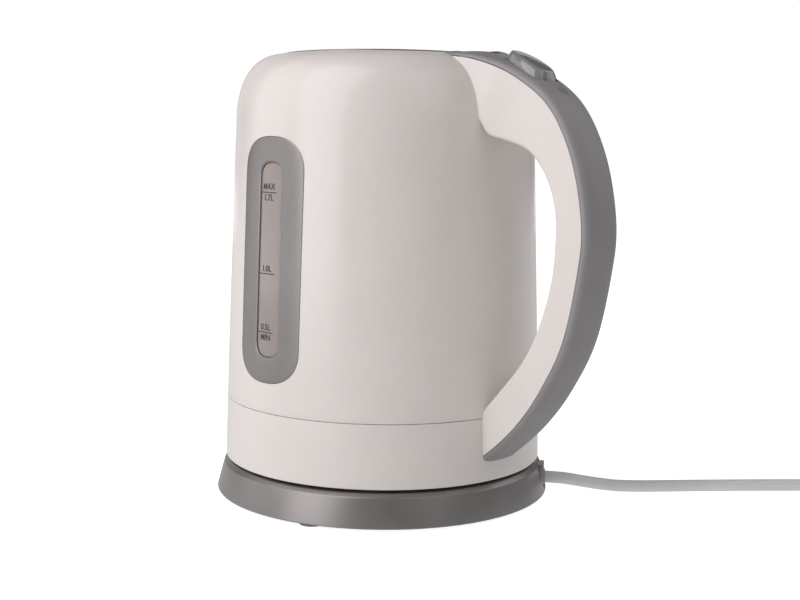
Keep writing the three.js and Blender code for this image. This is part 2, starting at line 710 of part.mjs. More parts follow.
// A wire from the control under the jug, up inside the handle to the steam switch.
function switchWire(side) {
  const route = [[21.6, 42], [50, 41], [72, 40], [84, 43.5], [92, 52], [102, 67], [111, 84],
    [118.5, 108], [122.4, 130], [121.5, 150], [116, 166], [107, 177.6], [97, 179.4], [92.5, 182]];
  return swept(route.map(([x, z]) => [x, 3 * side, z]), 1.2, 26, 5);
}

// ---------------------------------------------------------------- lid

function lidCap() {
  const low = LID_TOP - LID_PLATE;
  const plate = turned([[0, low], [LID_RADIUS - 1.3 * LID_EDGE, low], [LID_RADIUS, low + LID_EDGE],
    [LID_RADIUS, LID_TOP - 0.8], [LID_RADIUS - 0.8, LID_TOP], [0, LID_TOP]]);
  const bridge = block([42, -KNUCKLE_HALF_WIDTH, 213.4], [HINGE[0], KNUCKLE_HALF_WIDTH, LID_TOP - 0.1]);
  const knuckle = crossBar(HINGE, KNUCKLE_RADIUS, KNUCKLE_HALF_WIDTH, 24);
  const pinHole = crossBar(HINGE, HINGE_PIN_RADIUS + GAP, KNUCKLE_HALF_WIDTH + 2);
  return plate.add(bridge.subtract(bar(LID_INNER_RADIUS + 1, 200, low, ROUND))).add(knuckle)
    .subtract(pinHole);
}

function lidInner() {
  const high = LID_TOP - LID_PLATE - GAP;
  return turned([[0, LID_INNER_BOTTOM], [LID_INNER_RADIUS - 2, LID_INNER_BOTTOM],
    [LID_INNER_RADIUS, LID_INNER_BOTTOM + 2], [LID_INNER_RADIUS, high],
    [LID_INNER_RADIUS - 2, high], [LID_INNER_RADIUS - 2, LID_INNER_BOTTOM + 2.6],
    [LID_INNER_RADIUS - 2.6, LID_INNER_BOTTOM + 2], [0, LID_INNER_BOTTOM + 2]]);
}

function lidButton() {
  const [front, back] = BUTTON;
  return slab([[front, BUTTON_BOTTOM + BUTTON_RELIEF], [front + 0.8, BUTTON_BOTTOM],
    [back, BUTTON_BOTTOM], [back, BUTTON_TOP - 2.3], [back - 1, BUTTON_TOP - 1.4],
    [front + 4, BUTTON_TOP], [front, BUTTON_TOP - 0.4]], 2 * BUTTON_HALF_WIDTH);
}

// The coil spring under the lid button.
function buttonSpring() {
  const [turns, low, high] = [2.5, 208.9, 211.1];
  const route = [];
  for (let i = 0; i <= 8 * turns; i += 1) {
    const angle = (i * 360) / 8;
    const [x, y] = around(angle, SPRING_RADIUS);
    route.push([SPRING_PLACE + x, y, low + ((high - low) * i) / (8 * turns)]);
  }
  return swept(route, 0.35, 8 * turns, 5);
}

// ---------------------------------------------------------------- assembly

const kettle = new THREE.Group();
kettle.position.x = (BASE_RADIUS - HANDLE_REACH) / 2;

function place(name, finish, solid) {
  const mesh = new THREE.Mesh(geometryOf(solid), new THREE.MeshStandardMaterial(FINISH[finish]));
  mesh.name = name;
  kettle.add(mesh);
  return mesh;
}

place('base_cover', 'grey', baseCover());
place('base_plate', 'grey', basePlate());
FOOT_ANGLES.forEach((angle, i) => {
  place(`base_foot_${i + 1}`, 'rubber', foot()).position.set(...around(angle, FOOT_CIRCLE));
});
BASE_SCREW_ANGLES.forEach((angle, i) => {
  const screwPlace = around(angle, BASE_SCREW_CIRCLE, 1.6);
  place(`base_screw_${i + 1}`, 'steel', screw(3)).position.set(...screwPlace);
});
place('connector_socket', 'black', connectorSocket());
place('line_contact', 'brass', tube(2.6, 3.1, 13.3, 25, 10));
place('earth_contact', 'brass', tube(9.4, 10, 15.3, 25, 24));
place('neutral_contact', 'brass', tube(12.2, 12.7, 15.3, 25, 24));
place('cord_clamp', 'darkGrey', cordClamp());
place('inner_lead', 'cord', innerLead());
place('cord_gland', 'darkGrey', cordGland());

place('power_cord', 'cord', swept(CORD_RUN.map(laid), CORD_RADIUS, 24));
place('cord_coil', 'cord', cordCoil());
place('cord_tail', 'cord', swept(CORD_TAIL.map(laid), CORD_RADIUS, 8));
place('plug_body', 'cord', onPlug(plugBody()));
place('plug_pin_1', 'steel', onPlug(plugPin(-1)));
place('plug_pin_2', 'steel', onPlug(plugPin(1)));
place('plug_earth_clip_1', 'steel', onPlug(plugEarthClip(-1)));
place('plug_earth_clip_2', 'steel', onPlug(plugEarthClip(1)));

place('connector_plug', 'black', connectorPlug());
place('line_pin', 'brass', linePin());

place('underside_cover', 'white', undersideCover());
place('bottom_housing', 'white', bottomHousing());
JUG_SCREW_ANGLES.forEach((angle, i) => {
  const screwPlace = around(angle, JUG_SCREW_CIRCLE, UNDERSIDE - 1.5);
  place(`jug_screw_${i + 1}`, 'steel', screw(3.4)).position.set(...screwPlace);
});
place('control_unit', 'black', controlUnit());
place('heating_element', 'steel', heatingElement());
place('heater_plate', 'steel', heaterPlate());
place('plate_seal', 'rubber', plateSeal());
[-1, 1].forEach((side, i) => {
  place(`bimetal_disc_${i + 1}`, 'steel', bar(9, 49.8, 50.6)).position.x = 12 * side;
});
place('jug_body', 'white', jugBody());
place('jug_shoulder', 'white', jugShoulder());
place('gauge_frame', 'grey', gaugeFrame());
place('gauge_window', 'clear', gaugeWindow());
place('filter_frame', 'grey', filterFrame());
place('filter_mesh', 'steel', filterMesh());
place('handle_shell', 'white', handleShell());
place('handle_cover', 'grey', handleCover());
place('steam_switch', 'black', steamSwitch());
place('steam_bimetal', 'steel', steamBimetal());
place('switch_lamp', 'clear', switchLamp());
place('switch_wire_1', 'black', switchWire(-1));
place('switch_wire_2', 'white', switchWire(1));
place('rocker_pin', 'steel', crossBar(ROCKER_PIVOT, ROCKER_PIN_RADIUS, 9));
place('switch_rocker', 'smoke', switchRocker());
place('lid_hinge_pin', 'steel', crossBar(HINGE, HINGE_PIN_RADIUS, 12.6));
place('lid_cap', 'grey', lidCap());
place('lid_inner', 'white', lidInner());
place('lid_button', 'grey', lidButton());
place('button_spring', 'steel', buttonSpring());

export default kettle;
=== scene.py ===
import math

import bmesh
import bpy
from mathutils import Matrix, Vector


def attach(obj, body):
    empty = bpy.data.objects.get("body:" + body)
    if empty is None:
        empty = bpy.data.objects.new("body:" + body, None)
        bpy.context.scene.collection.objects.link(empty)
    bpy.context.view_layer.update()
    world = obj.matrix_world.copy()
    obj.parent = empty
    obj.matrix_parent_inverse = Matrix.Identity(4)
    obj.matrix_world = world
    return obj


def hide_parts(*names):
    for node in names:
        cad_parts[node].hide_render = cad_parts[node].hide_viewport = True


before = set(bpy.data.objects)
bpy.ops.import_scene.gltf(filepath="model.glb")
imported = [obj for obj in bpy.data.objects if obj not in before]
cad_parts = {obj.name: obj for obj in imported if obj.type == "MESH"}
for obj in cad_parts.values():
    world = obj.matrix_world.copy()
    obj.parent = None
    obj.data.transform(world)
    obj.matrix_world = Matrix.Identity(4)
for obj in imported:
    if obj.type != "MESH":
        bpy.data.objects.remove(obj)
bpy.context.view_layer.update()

# Everything below is written in millimetres about the upright axis of the jug, as the CAD source
# is, and put() moves it into the frame of the part, in metres.
MM = 0.001
AXIS_X = -25.2625

WALL = 2.4  # of the plastic shells
SIDES = 256  # of a large turned piece
OVERHEAD = 230  # a height over the whole kettle, where upright cuts end
SCREW_HOLE_RADIUS = 1.9
PIN_HOLE_RADIUS = 1.6  # for the lid's hinge pin

BASE_RADIUS = 84.2
BASE_TOP = 16.9
FOOT_HEIGHT = 1.5
FOOT_CIRCLE = 76.6
FOOT_RADIUS = 6
FOOT_STEM_RADIUS = 3.2
FOOT_ANGLES = (50, 170, 290)
BASE_SCREW_CIRCLE = 62
BASE_SCREW_ANGLES = (-10, 110, 230)

JUG_BOTTOM = 18.6
JUG_BOTTOM_RADIUS = 79.6
SEAM = 48.9  # between the lower housing and the jug
SEAM_HALF_GAP = 0.12
SHOULDER = 183
SHOULDER_RADIUS = 73.9
RIM_TOP = 217
RIM_RADIUS = 51.9
TAPER_POWER = 1.2
SHOULDER_POWER = 2.3
LID_LEDGE = 215.2
LID_RADIUS = 50.8
LID_TOP = 217.8
JUG_SCREW_CIRCLE = 72
JUG_SCREW_ANGLES = (60, 180, 300)

# Slots of the gauge: half width, lowest and highest point, height of a curved end.
GAUGE_EDGE = (20.5, 63, 177.7, 17)
SURROUND_EDGE = (20.36, 63.14, 177.56, 16.86)
WINDOW_EDGE = (7.7, 75.1, 165.7, 7)
PANE_EDGE = (7.6, 75.2, 165.6, 6.9)
PANE_MIDDLE = (0, 82.8, 158, 0)
SLOT_POWER = 2 / 2.4  # squareness of the curved ends

# Level marks: text or line, height of its middle, and its own height.
LEVEL_MARKS = [
    ("MAX", 154.4, 2.9), ("line", 151.8, 0.45), ("1.7L", 149.3, 2.9),
    ("1.0L", 116.4, 2.9), ("line", 114.1, 0.45),
    ("0.5L", 89.0, 2.9), ("line", 86.7, 0.45), ("MIN", 84.2, 2.9),
]
MARK_DEPTH = 1.04  # below the jug's surface, just over the window's pane
LINE_START = -7.1
LINE_LENGTH = 10.6
LETTERS_MIDDLE = -1.6
LETTER_SCALE = 1.38  # the font's size for capitals one high
LETTER_WEIGHT = 0.08

# The spout: heights where its growth starts and ends, its reach and half width at both, and how
# far from the axis its round front and its straight back end.
SPOUT_GROWTH = (186, 211)
SPOUT_REACH = (72.5, 84)
SPOUT_HALF_WIDTH = (7, 17)
SPOUT_ROOT = 52
SPOUT_BACK = 46
NET_WIRE_RADIUS = 0.16

HINGE = (54.5, 211.5)  # distance from the axis, height
KNUCKLE_RADIUS = 6.2
KNUCKLE_HALF_WIDTH = 9
EAR_HALF_WIDTH = 13.5
SPRING_PLACE = 69.5
ROCKER_PIVOT = (90, 204.5)

# The switch's pad: half its plan from front to rear, and how its sides draw in as they rise.
PAD_PLAN = [
    (80.2, 2.4), (81.4, 4.8), (85, 6.7), (90, 7.7), (95, 8), (99, 7.4), (101.6, 5.8), (102.8, 3),
]
PAD_FRONT, PAD_REAR = PAD_PLAN[0][0], PAD_PLAN[-1][0]
PAD_MIDDLE = (PAD_FRONT + PAD_REAR) / 2
PAD_RISE = (3.9, 3.3)  # above the handle's ridge, at the front and at the rear
PAD_DRAFT = (1.9, 0.6, 0.33)  # how far the top is drawn in: front, rear, and as a share across
PAD_SIDE = [(0, -0.1), (0.3, 0.35), (0.62, 0.68), (0.82, 0.87), (0.93, 0.96), (1.02, 1)]
PAD_STEM = [
    (86, 209), (87.5, 201.8), (92.5, 201.8), (96, 203.4), (99, 202.5), (99, 204), (94, 207.5),
]

# The key that opens the lid: where it starts and ends, and the outline of its raised lip.
KEY_FRONT = 66.4
KEY_LIP = 70.4
KEY_BACK = 76.4
KEY_HALF_WIDTH = 6.1
KEY_SLOT_HALF_WIDTH = 6.6
KEY_PROFILE = [
    (6, -0.9), (5.2, 0.75), (3.5, 0.9), (1.8, 0.85), (0.5, 0.6), (-0.5, 0), (-2.2, -0.05),
]

HANDLE_HALF_WIDTH = 11.65
HANDLE_STEPS = 15  # between two points of its outlines
HANDLE_FLARE = 0.5  # how much wider it is where it meets the shoulder
FLARE_START = 84
FLARE_END = 54.5
COVER_WALL = 2.2
COVER_LOW = 0.35  # the cover's lower edge, above the line where it meets the handle
DOME_POWER = 2 / 2.6  # squareness of the grey cover's section
OFF_MARK_PLACE = 109.6
OFF_MARK_RADII = (1.95, 2.35)

# Line where the white handle meets its grey cover: distance from the axis, height, thickness of
# the cover there.
HANDLE_EDGE = [
    (44, 216.3, 1.6), (58, 215.0, 2.6), (72, 212.5, 3.9), (92.5, 204.4, 4.3), (111.5, 190.8, 4.6),
    (124, 168.5, 4.7), (130, 141, 4.7), (128.4, 119, 4.6), (121.5, 89, 4.5), (109.5, 65.6, 4.2),
    (96.8, 48.4, 3.7), (82, 34.2, 3.4), (66, 22, 3.3),
]
# Inner edge of the handle, round the finger gap, with a point inside the jug at each end.
FINGER_GAP = [
    (52, 203), (66, 192), (72.5, 185.5), (77, 179.4), (85, 177.2), (96.8, 173.8), (104, 168.8),
    (110.3, 160.2), (114.6, 149), (115.7, 137), (114.4, 118), (109.6, 100), (103.5, 85.5),
    (95.5, 73.5), (83.5, 59.8), (72, 47), (58, 34),
]

CORD_RADIUS = 3
CORD_ANGLE = 36  # where the cord leaves the base, from +X towards +Y
CORD_EXIT_HEIGHT = 8
CORD_LAY_ANGLE = 45  # direction of the straight stretch across the table
COIL_CENTRE = (252, -43)
COIL_RADIUS = 36
COIL_TURNS = 2.25
COIL_PITCH = 6

# Route of the cord on either side of its coil: along the lay direction, to its left, height.
CORD_RUN = [
    (82.2, -13, 8), (92, -14.0, 7.5), (100, -14.2, 6.3), (110, -13.8, 4.7), (120, -13.0, 3.5),
    (131, -12.0, 3.05), (145, -11, 3), (162, -9.8, 3), (180, -8.7, 3), (198, -7.8, 3),
    (215, -7.2, 3), (230.6, -7.0, 3), (244, -7.0, 3),
]
CORD_TAIL = [
    (288, -52, 16.2), (288, -64.4, 14.6), (288.4, -73, 11.4), (289, -82, 7.2), (289.8, -91, 4.2),
    (290.9, -100, 3.1), (292.2, -108, 3.3), (293.3, -115, 4.9),
]
PLUG_START = (293, -113.2, 4.3)
PLUG_HEADING = (0.14, -1)
PLUG_TILT = 17.4
PLUG_PIN_OFFSET = 9.5


def put(point):
    """A point about the jug's axis in millimetres, in the part's frame in metres."""
    return Vector(((point[0] + AXIS_X) * MM, point[1] * MM, point[2] * MM))


def around(angle, radius, height=0.0):
    turn = math.radians(angle)
    return Vector((radius * math.cos(turn), radius * math.sin(turn), height))


def between(pair, share):
    return pair[0] + (pair[1] - pair[0]) * share


def added(name, data):
    made = bpy.data.objects.new(name, data)
    bpy.context.scene.collection.objects.link(made)
    return made


def spline(points, steps):
    """A smooth line through the points, with that many steps from each to the next."""
    out = []
    last = len(points) - 1
    for i in range(last):
        p0, p1, p2, p3 = (Vector(points[min(max(j, 0), last)]) for j in (i - 1, i, i + 1, i + 2))
        v1, v2 = (p2 - p0) / 2, (p3 - p1) / 2
        for k in range(steps):
            t = k / steps
            out.append(p1 + v1 * t + (3 * (p2 - p1) - 2 * v1 - v2) * t**2
                       + (2 * (p1 - p2) + v1 + v2) * t**3)
    out.append(Vector(points[last]))
    return out


# ---- camera

FOCAL = 57.294
CAMERA_PLACE = (0, -641.8, 177.7)  # about the jug's axis, before the turn to the view's azimuth
CAMERA_TURN = 45
CAMERA_PITCH = 7.2745
CAMERA_YAW = 0.729
CAMERA_ROLL = 0.6774

pitch, yaw = math.radians(CAMERA_PITCH), math.radians(CAMERA_YAW)
forward = Vector((math.sin(yaw) * math.cos(pitch), math.cos(yaw) * math.cos(pitch),
                  -math.sin(pitch)))
level = Vector((math.cos(yaw), -math.sin(yaw), 0))
above = level.cross(forward)
roll = math.radians(CAMERA_ROLL)
right = level * math.cos(roll) + above * math.sin(roll)
up = above * math.cos(roll) - level * math.sin(roll)
turned_view = Matrix.Rotation(math.radians(CAMERA_TURN), 3, "Z")
camera_data = bpy.data.cameras.new("camera")
camera_data.sensor_width = 36
camera_data.lens = FOCAL
camera_data.clip_start = 0.01
camera_data.clip_end = 50
camera = added("camera", camera_data)
axes = Matrix((turned_view @ right, turned_view @ up, turned_view @ -forward)).transposed()
camera.matrix_world = Matrix.Translation(put(turned_view @ Vector(CAMERA_PLACE))) @ axes.to_4x4()
bpy.context.scene.camera = camera


# ---- materials

LOOK = {}


def node(tree, kind, **values):
    made = tree.nodes.new(kind)
    for key, value in values.items():
        if key in made.inputs:
            made.inputs[key].default_value = value
        else:
            setattr(made, key, value)
    return made


def ranged(tree, source, low, high, near=0.3, far=0.7):
    """A texture's value taken from near..far to low..high."""
    made = node(tree, "ShaderNodeMapRange",
                **{"From Min": near, "From Max": far, "To Min": low, "To Max": high})
    tree.links.new(source, made.inputs["Value"])
    return made.outputs["Result"]


def material(name, dark, light, roughness, grain=(900, 0.05), cloud=35, stretch=(1, 1, 1),
             **shader):
    """Procedural surface: two close colours in soft clouds, roughness that drifts between its two
    values, and a fine grain of (scale, strength). stretch draws the clouds and grain out."""
    made = LOOK[name] = bpy.data.materials.new(name)
    made.use_nodes = True
    tree = made.node_tree
    bsdf = tree.nodes["Principled BSDF"]
    for key, value in shader.items():
        bsdf.inputs[key.replace("_", " ")].default_value = value
    place = node(tree, "ShaderNodeTexCoord").outputs["Object"]
    mapping = node(tree, "ShaderNodeMapping")
    mapping.inputs["Scale"].default_value = stretch
    tree.links.new(place, mapping.inputs["Vector"])
    clouds = node(tree, "ShaderNodeTexNoise", Scale=cloud, Detail=4.0, Roughness=0.6)
    fine = node(tree, "ShaderNodeTexNoise", Scale=grain[0], Detail=2.0, Roughness=0.5)
    for texture in (clouds, fine):
        tree.links.new(mapping.outputs["Vector"], texture.inputs["Vector"])
    ramp = node(tree, "ShaderNodeValToRGB")
    for stop, at, colour in zip(ramp.color_ramp.elements, (0.35, 0.65), (dark, light)):
        stop.position = at
        stop.color = (*colour, 1)
    tree.links.new(clouds.outputs["Fac"], ramp.inputs["Fac"])
    tree.links.new(ramp.outputs["Color"], bsdf.inputs["Base Color"])
    tree.links.new(ranged(tree, clouds.outputs["Fac"], *roughness), bsdf.inputs["Roughness"])
    bump = node(tree, "ShaderNodeBump", Strength=grain[1], Distance=0.0001)
    tree.links.new(fine.outputs["Fac"], bump.inputs["Height"])
    tree.links.new(bump.outputs["Normal"], bsdf.inputs["Normal"])
    return made


def tint(value, warm=0.0):
    """A grey, a little warmer or cooler."""
    return (value * (1 + warm), value, value * (1 - warm))


material("white_plastic", (0.78, 0.732, 0.703), (0.8, 0.752, 0.723), (0.2, 0.26),
         grain=(700, 0.03), IOR=1.5, Subsurface_Weight=0.05, Subsurface_Scale=0.002)
material("grey_plastic", (0.265, 0.252, 0.248), (0.285, 0.272, 0.268), (0.32, 0.38),
         grain=(1500, 0.1), IOR=1.49, Metallic=0.55)
# The handle's back is the same grey plastic with a duller, less metallic finish, and its colour is
# a little lighter as painted light on the handle's back.
material("cover_plastic_painted_light", (0.285, 0.272, 0.275), (0.305, 0.292, 0.295), (0.5, 0.56),
         grain=(1500, 0.1), IOR=1.49, Metallic=0.1)
material("dark_plastic", tint(0.09, -0.02), tint(0.11, -0.02), (0.45, 0.55),
         grain=(1400, 0.2), IOR=1.48)
material("black_plastic", tint(0.012), tint(0.018), (0.42, 0.55), grain=(1400, 0.25), IOR=1.48)
material("window_plastic", (0.33, 0.295, 0.275), (0.37, 0.33, 0.31), (0.14, 0.2),
         grain=(500, 0.03), IOR=1.49, Subsurface_Weight=0.3, Subsurface_Scale=0.004)
material("rocker_plastic", (0.3, 0.3, 0.305), (0.34, 0.34, 0.345), (0.08, 0.14),
         grain=(500, 0.03), IOR=1.49, Transmission_Weight=0.25, Coat_Weight=0.6,
         Coat_Roughness=0.05)
material("lamp_glass", (0.8, 0.35, 0.2), (0.85, 0.45, 0.28), (0.05, 0.1), IOR=1.5,
         Transmission_Weight=0.5)
material("cord_pvc", (0.74, 0.725, 0.745), (0.8, 0.785, 0.805), (0.4, 0.52),
         grain=(1300, 0.2), IOR=1.5)
material("wire_black", tint(0.02), tint(0.03), (0.4, 0.5), grain=(1300, 0.2))
material("wire_white", tint(0.6), tint(0.66), (0.4, 0.5), grain=(1300, 0.2))
material("steel", tint(0.5, 0.01), tint(0.62, 0.01), (0.22, 0.34), grain=(260, 0.12),
         cloud=60, stretch=(1, 1, 14), Metallic=1.0)
material("plated_metal", tint(0.62, 0.02), tint(0.7, 0.02), (0.14, 0.24), grain=(600, 0.06),
         cloud=90, Metallic=1.0)
material("brass", (0.66, 0.47, 0.19), (0.76, 0.56, 0.25), (0.2, 0.34), grain=(700, 0.1),
         cloud=110, Metallic=1.0)
material("rubber", tint(0.2), tint(0.235), (0.7, 0.85), grain=(1100, 0.4))
material("silicone", tint(0.42), tint(0.47), (0.5, 0.6), grain=(900, 0.2),
         Subsurface_Weight=0.2, Subsurface_Scale=0.003)
material("ink", (0.035, 0.033, 0.034), (0.05, 0.047, 0.048), (0.4, 0.5), grain=(1500, 0.05))


# ---- mesh tools

def mesh_piece(name, verts, faces, sharp=32):
    """A mesh object from points about the jug's axis, with merged points and outward faces."""
    mesh = bpy.data.meshes.new(name)
    mesh.from_pydata([put(v) for v in verts], [], faces)
    return tidy(added(name, mesh), sharp)


def tidy(piece, sharp=32):
    """Merges a piece's doubled points, turns its faces outwards and shades it smooth."""
    shape = bmesh.new()
    shape.from_mesh(piece.data)
    bmesh.ops.remove_doubles(shape, verts=shape.verts, dist=2e-6)
    bmesh.ops.recalc_face_normals(shape, faces=shape.faces)
    shape.to_mesh(piece.data)
    shape.free()
    piece.data.shade_smooth()
    piece.data.set_sharp_from_angle(angle=math.radians(sharp))
    return piece


def applied(piece, sharp):
    """The piece with its modifiers made part of its mesh."""
    view = bpy.context.evaluated_depsgraph_get()
    shape = bpy.data.meshes.new_from_object(piece.evaluated_get(view))
    piece.modifiers.clear()
    old = piece.data
    piece.data = shape
    bpy.data.meshes.remove(old)
    return tidy(piece, sharp)


def carve(piece, *tools, operation="DIFFERENCE", sharp=32):
    """Cuts the tools out of a piece, or joins or keeps what they share, and removes them."""
    for tool in tools:
        step = piece.modifiers.new("carve", "BOOLEAN")
        step.operation = operation
        step.solver = "EXACT"
        step.object = tool
    applied(piece, sharp)
    for tool in tools:
        bpy.data.objects.remove(tool)
    return piece


def joined(name, *parts):
    """Several mesh objects as one piece."""
    shape = bmesh.new()
    for part in parts:
        shape.from_mesh(part.data)
    mesh = bpy.data.meshes.new(name)
    shape.to_mesh(mesh)
    shape.free()
    for part in parts:
        bpy.data.objects.remove(part)
    return tidy(added(name, mesh))


def moved(piece, matrix):
    """The piece's mesh moved by a matrix that is written in millimetres about the jug's axis."""
    there = Matrix.Translation(put((0, 0, 0)))
    scale = Matrix.Scale(MM, 4)
    piece.data.transform(there @ scale @ matrix @ scale.inverted() @ there.inverted())
    return piece


def shifted(piece, place):
    return moved(piece, Matrix.Translation(place))


def swung(piece, angle, axis="Z"):
    return moved(piece, Matrix.Rotation(math.radians(angle), 4, axis))


def rounded(points, steps=5):
    """A closed outline with rounded corners. Each point is (x, y) or (x, y, radius)."""
    out = []
    for i, (x, y, *radius) in enumerate(points):
        corner = Vector((x, y))
        if not radius:
            out.append(corner)
            continue
        before = Vector(points[i - 1][:2]) - corner
        after = Vector(points[(i + 1) % len(points)][:2]) - corner
        half = before.angle(after) / 2
        reach = min(radius[0] / math.tan(half), 0.49 * before.length, 0.49 * after.length)
        start, end = corner + before.normalized() * reach, corner + after.normalized() * reach
        for k in range(steps + 1):
            t = k / steps
            out.append(start * (1 - t) ** 2 + corner * 2 * t * (1 - t) + end * t**2)
    return out


def skinned(rings, closed_row=False, caps=False):
    """Faces over rings of points with the same count each."""
    count = len(rings[0])
    verts = [p for ring in rings for p in ring]
    faces = []
    rows = len(rings) if closed_row else len(rings) - 1
    for i in range(rows):
        a, b = i * count, ((i + 1) % len(rings)) * count
        for k in range(count):
            m = (k + 1) % count
            faces.append((a + k, a + m, b + m, b + k))
    if caps:
        faces.append(tuple(range(count)))
        faces.append(tuple(range(len(verts) - count, len(verts))))
    return verts, faces


def lathe(name, profile, sides=SIDES):
    """A closed profile of (radius, height) turned about the upright axis."""
    verts, rows = [], []
    for r, z in profile:
        if r < 1e-6:
            rows.append([len(verts)] * sides)
            verts.append((0, 0, z))
        else:
            rows.append(list(range(len(verts), len(verts) + sides)))
            verts += [around(360 * k / sides, r, z) for k in range(sides)]
    faces = []
    for a, b in zip(rows, rows[1:] + rows[:1]):
        for k in range(sides):
            m = (k + 1) % sides
            face = tuple(dict.fromkeys((a[k], a[m], b[m], b[k])))
            if len(face) > 2:
                faces.append(face)
    return mesh_piece(name, verts, faces)


def turned_part(name, corners, sides=SIDES, steps=5):
    """A turned piece whose profile has rounded corners."""
    return lathe(name, rounded(corners, steps), sides)


def prism(name, points, low, high, plane="XY"):
    """An outline given a thickness: upwards in plane XY, along Y in plane XZ."""
    if plane == "XY":
        rings = [[(x, y, at) for x, y in points] for at in (low, high)]
    else:
        rings = [[(x, at, z) for x, z in points] for at in (low, high)]
    return mesh_piece(name, *skinned(rings, caps=True))


def box(name, low, high, corner=0.0, steps=4):
    """A block with its upright edges rounded."""
    points = [(low[0], low[1]), (high[0], low[1]), (high[0], high[1]), (low[0], high[1])]
    if corner:
        points = rounded([(x, y, corner) for x, y in points], steps)
    return prism(name, points, low[2], high[2])


def softened(piece, width, segments=3, angle=40):
    """The piece with its sharp edges rounded by a width in millimetres."""
    step = piece.modifiers.new("soften", "BEVEL")
    step.width = width * MM
    step.segments = segments
    step.limit_method = "ANGLE"
    step.angle_limit = math.radians(angle)
    return applied(piece, 40)


def cross_bar(name, centre, radius, half_width, sides=48):
    """A round bar along Y."""
    points = [(centre[0] + radius * math.cos(2 * math.pi * k / sides),
               centre[1] + radius * math.sin(2 * math.pi * k / sides)) for k in range(sides)]
    return prism(name, points, -half_width, half_width, "XZ")


def wire(name, points, radius):
    """A round wire along a smooth line, as a curve."""
    data = bpy.data.curves.new(name, "CURVE")
    data.dimensions = "3D"
    line = spline(points, 6)
    data.bevel_depth = radius * MM
    data.bevel_resolution = 10
    data.use_fill_caps = True
    track = data.splines.new("POLY")
    track.points.add(len(line) - 1)
    for point, place in zip(track.points, line):
        point.co = (*put(place), 1)
    track.use_smooth = True
    return added(name, data)


def finish_piece(piece, body, slot, *replaces, look=None):
    """Gives a piece its look, named by look or else by slot, puts it on its body and hides the CAD
    nodes it stands for.
    """
    piece.data.materials.clear()
    piece.data.materials.append(LOOK[look or slot])
    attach(piece, body)
    if replaces:
        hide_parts(*replaces)
    return piece


# ---- shape of the jug

def jug_radius(z, offset=0.0):
    """Outer radius of the jug at a height, grown by an offset."""
    if z <= SHOULDER:
        part = max(z - JUG_BOTTOM, 0) / (SHOULDER - JUG_BOTTOM)
        return (JUG_BOTTOM_RADIUS - (JUG_BOTTOM_RADIUS - SHOULDER_RADIUS) * part**TAPER_POWER
                + offset)
    part = min((z - SHOULDER) / (RIM_TOP + offset - SHOULDER), 1)
    reach = SHOULDER_RADIUS - RIM_RADIUS + offset
    return RIM_RADIUS + reach * (1 - part**SHOULDER_POWER) ** (1 / SHOULDER_POWER)


def jug_side(low, offset=0.0, straight=44, bends=40):
    """Points up the jug's side, from one height to the top of the shoulder."""
    heights = [low + (SHOULDER - low) * i / straight for i in range(straight)]
    for i in range(bends + 1):
        rise = math.sin(i * math.pi / (2 * bends)) ** (2 / SHOULDER_POWER)
        heights.append(SHOULDER + (RIM_TOP + offset - SHOULDER) * rise)
    return [(jug_radius(z, offset), z) for z in heights]


def jug_core(name, offset):
    """The jug filled solid, grown by an offset."""
    side = jug_side(5, offset)
    return lathe(name, [(0, 5), *side, (0, side[-1][1])])


# ---- mains cord and plug

def laid(point):
    """A point of the cord's own layout, about the jug's axis."""
    return Matrix.Rotation(math.radians(CORD_LAY_ANGLE), 3, "Z") @ Vector(point)


def coil_route():
    """The turns of the coil, clockwise from the point where the straight stretch touches it."""
    steps = int(24 * COIL_TURNS)
    points = []
    for i in range(1, steps):
        turn = math.radians(90 - 360 * COIL_TURNS * i / steps)
        points.append((COIL_CENTRE[0] + COIL_RADIUS * math.cos(turn),
                       COIL_CENTRE[1] + COIL_RADIUS * math.sin(turn),
                       CORD_RADIUS + COIL_PITCH * COIL_TURNS * i / steps))
    return points


route = [laid(p) for p in CORD_RUN + coil_route() + CORD_TAIL[1:]]
power_lead = wire("power_lead", route, CORD_RADIUS)
finish_piece(power_lead, "base", "cord_pvc", "power_cord", "cord_coil", "cord_tail")

plug_heading = math.atan2(PLUG_HEADING[1], PLUG_HEADING[0]) + math.radians(CORD_LAY_ANGLE)
ON_PLUG = (Matrix.Translation(laid(PLUG_START)) @ Matrix.Rotation(plug_heading, 4, "Z")
           @ Matrix.Rotation(math.radians(90 - PLUG_TILT), 4, "Y"))


def plug_moulding():
    """The plug's body: ribbed at the cord, with finger ridges and flats for the earth clips."""
    relief = [(0, 0), (3.9, 0, 0.5)]
    for i in range(5):
        low = 2.5 + 4.2 * i
        grow = 0.085 * low
        relief += [(4.3 + grow, low, 0.3), (4.4 + grow, low + 2.6, 0.3),
                   (3.6 + grow, low + 2.8, 0.2), (3.6 + grow, low + 3.9, 0.2)]
    body = turned_part("plug_moulding", relief + [
        (6.4, 24, 0.4), (9, 26.5, 2), (12.5, 40, 4), (17.8, 44, 1.6), (18.6, 46, 1),
        (18.6, 56, 0.8), (17.8, 57.5, 0.6), (14.5, 57.5, 0.4), (14.2, 56.9, 0.3), (0, 56.9),
    ], 96, 4)
    cuts = [shifted(lathe("cut", [(0, 47.5), (2.7, 47.5), (2.7, 60), (0, 60)], 32),
                    (0, PLUG_PIN_OFFSET * side, 0)) for side in (-1, 1)]
    flats = [box("cut", (17.3, -4, 45.5), (22, 4, 60), 0.8),
             box("cut", (-22, -4, 45.5), (-17.3, 4, 60), 0.8)]
    carve(body, *cuts, *flats)
    ridges = []
    for i in range(4):
        for side in (-1, 1):
            low = 29 + 3.1 * i
            reach = 9.4 + 0.26 * (low - 26.5)
            ridge = box("ridge", (-4.5, side * reach - 0.8, low),
                        (4.5, side * reach + 0.8, low + 1.3), 0.7)
            ridges.append(softened(ridge, 0.35))
    return moved(joined("plug_moulding", body, *ridges), ON_PLUG)


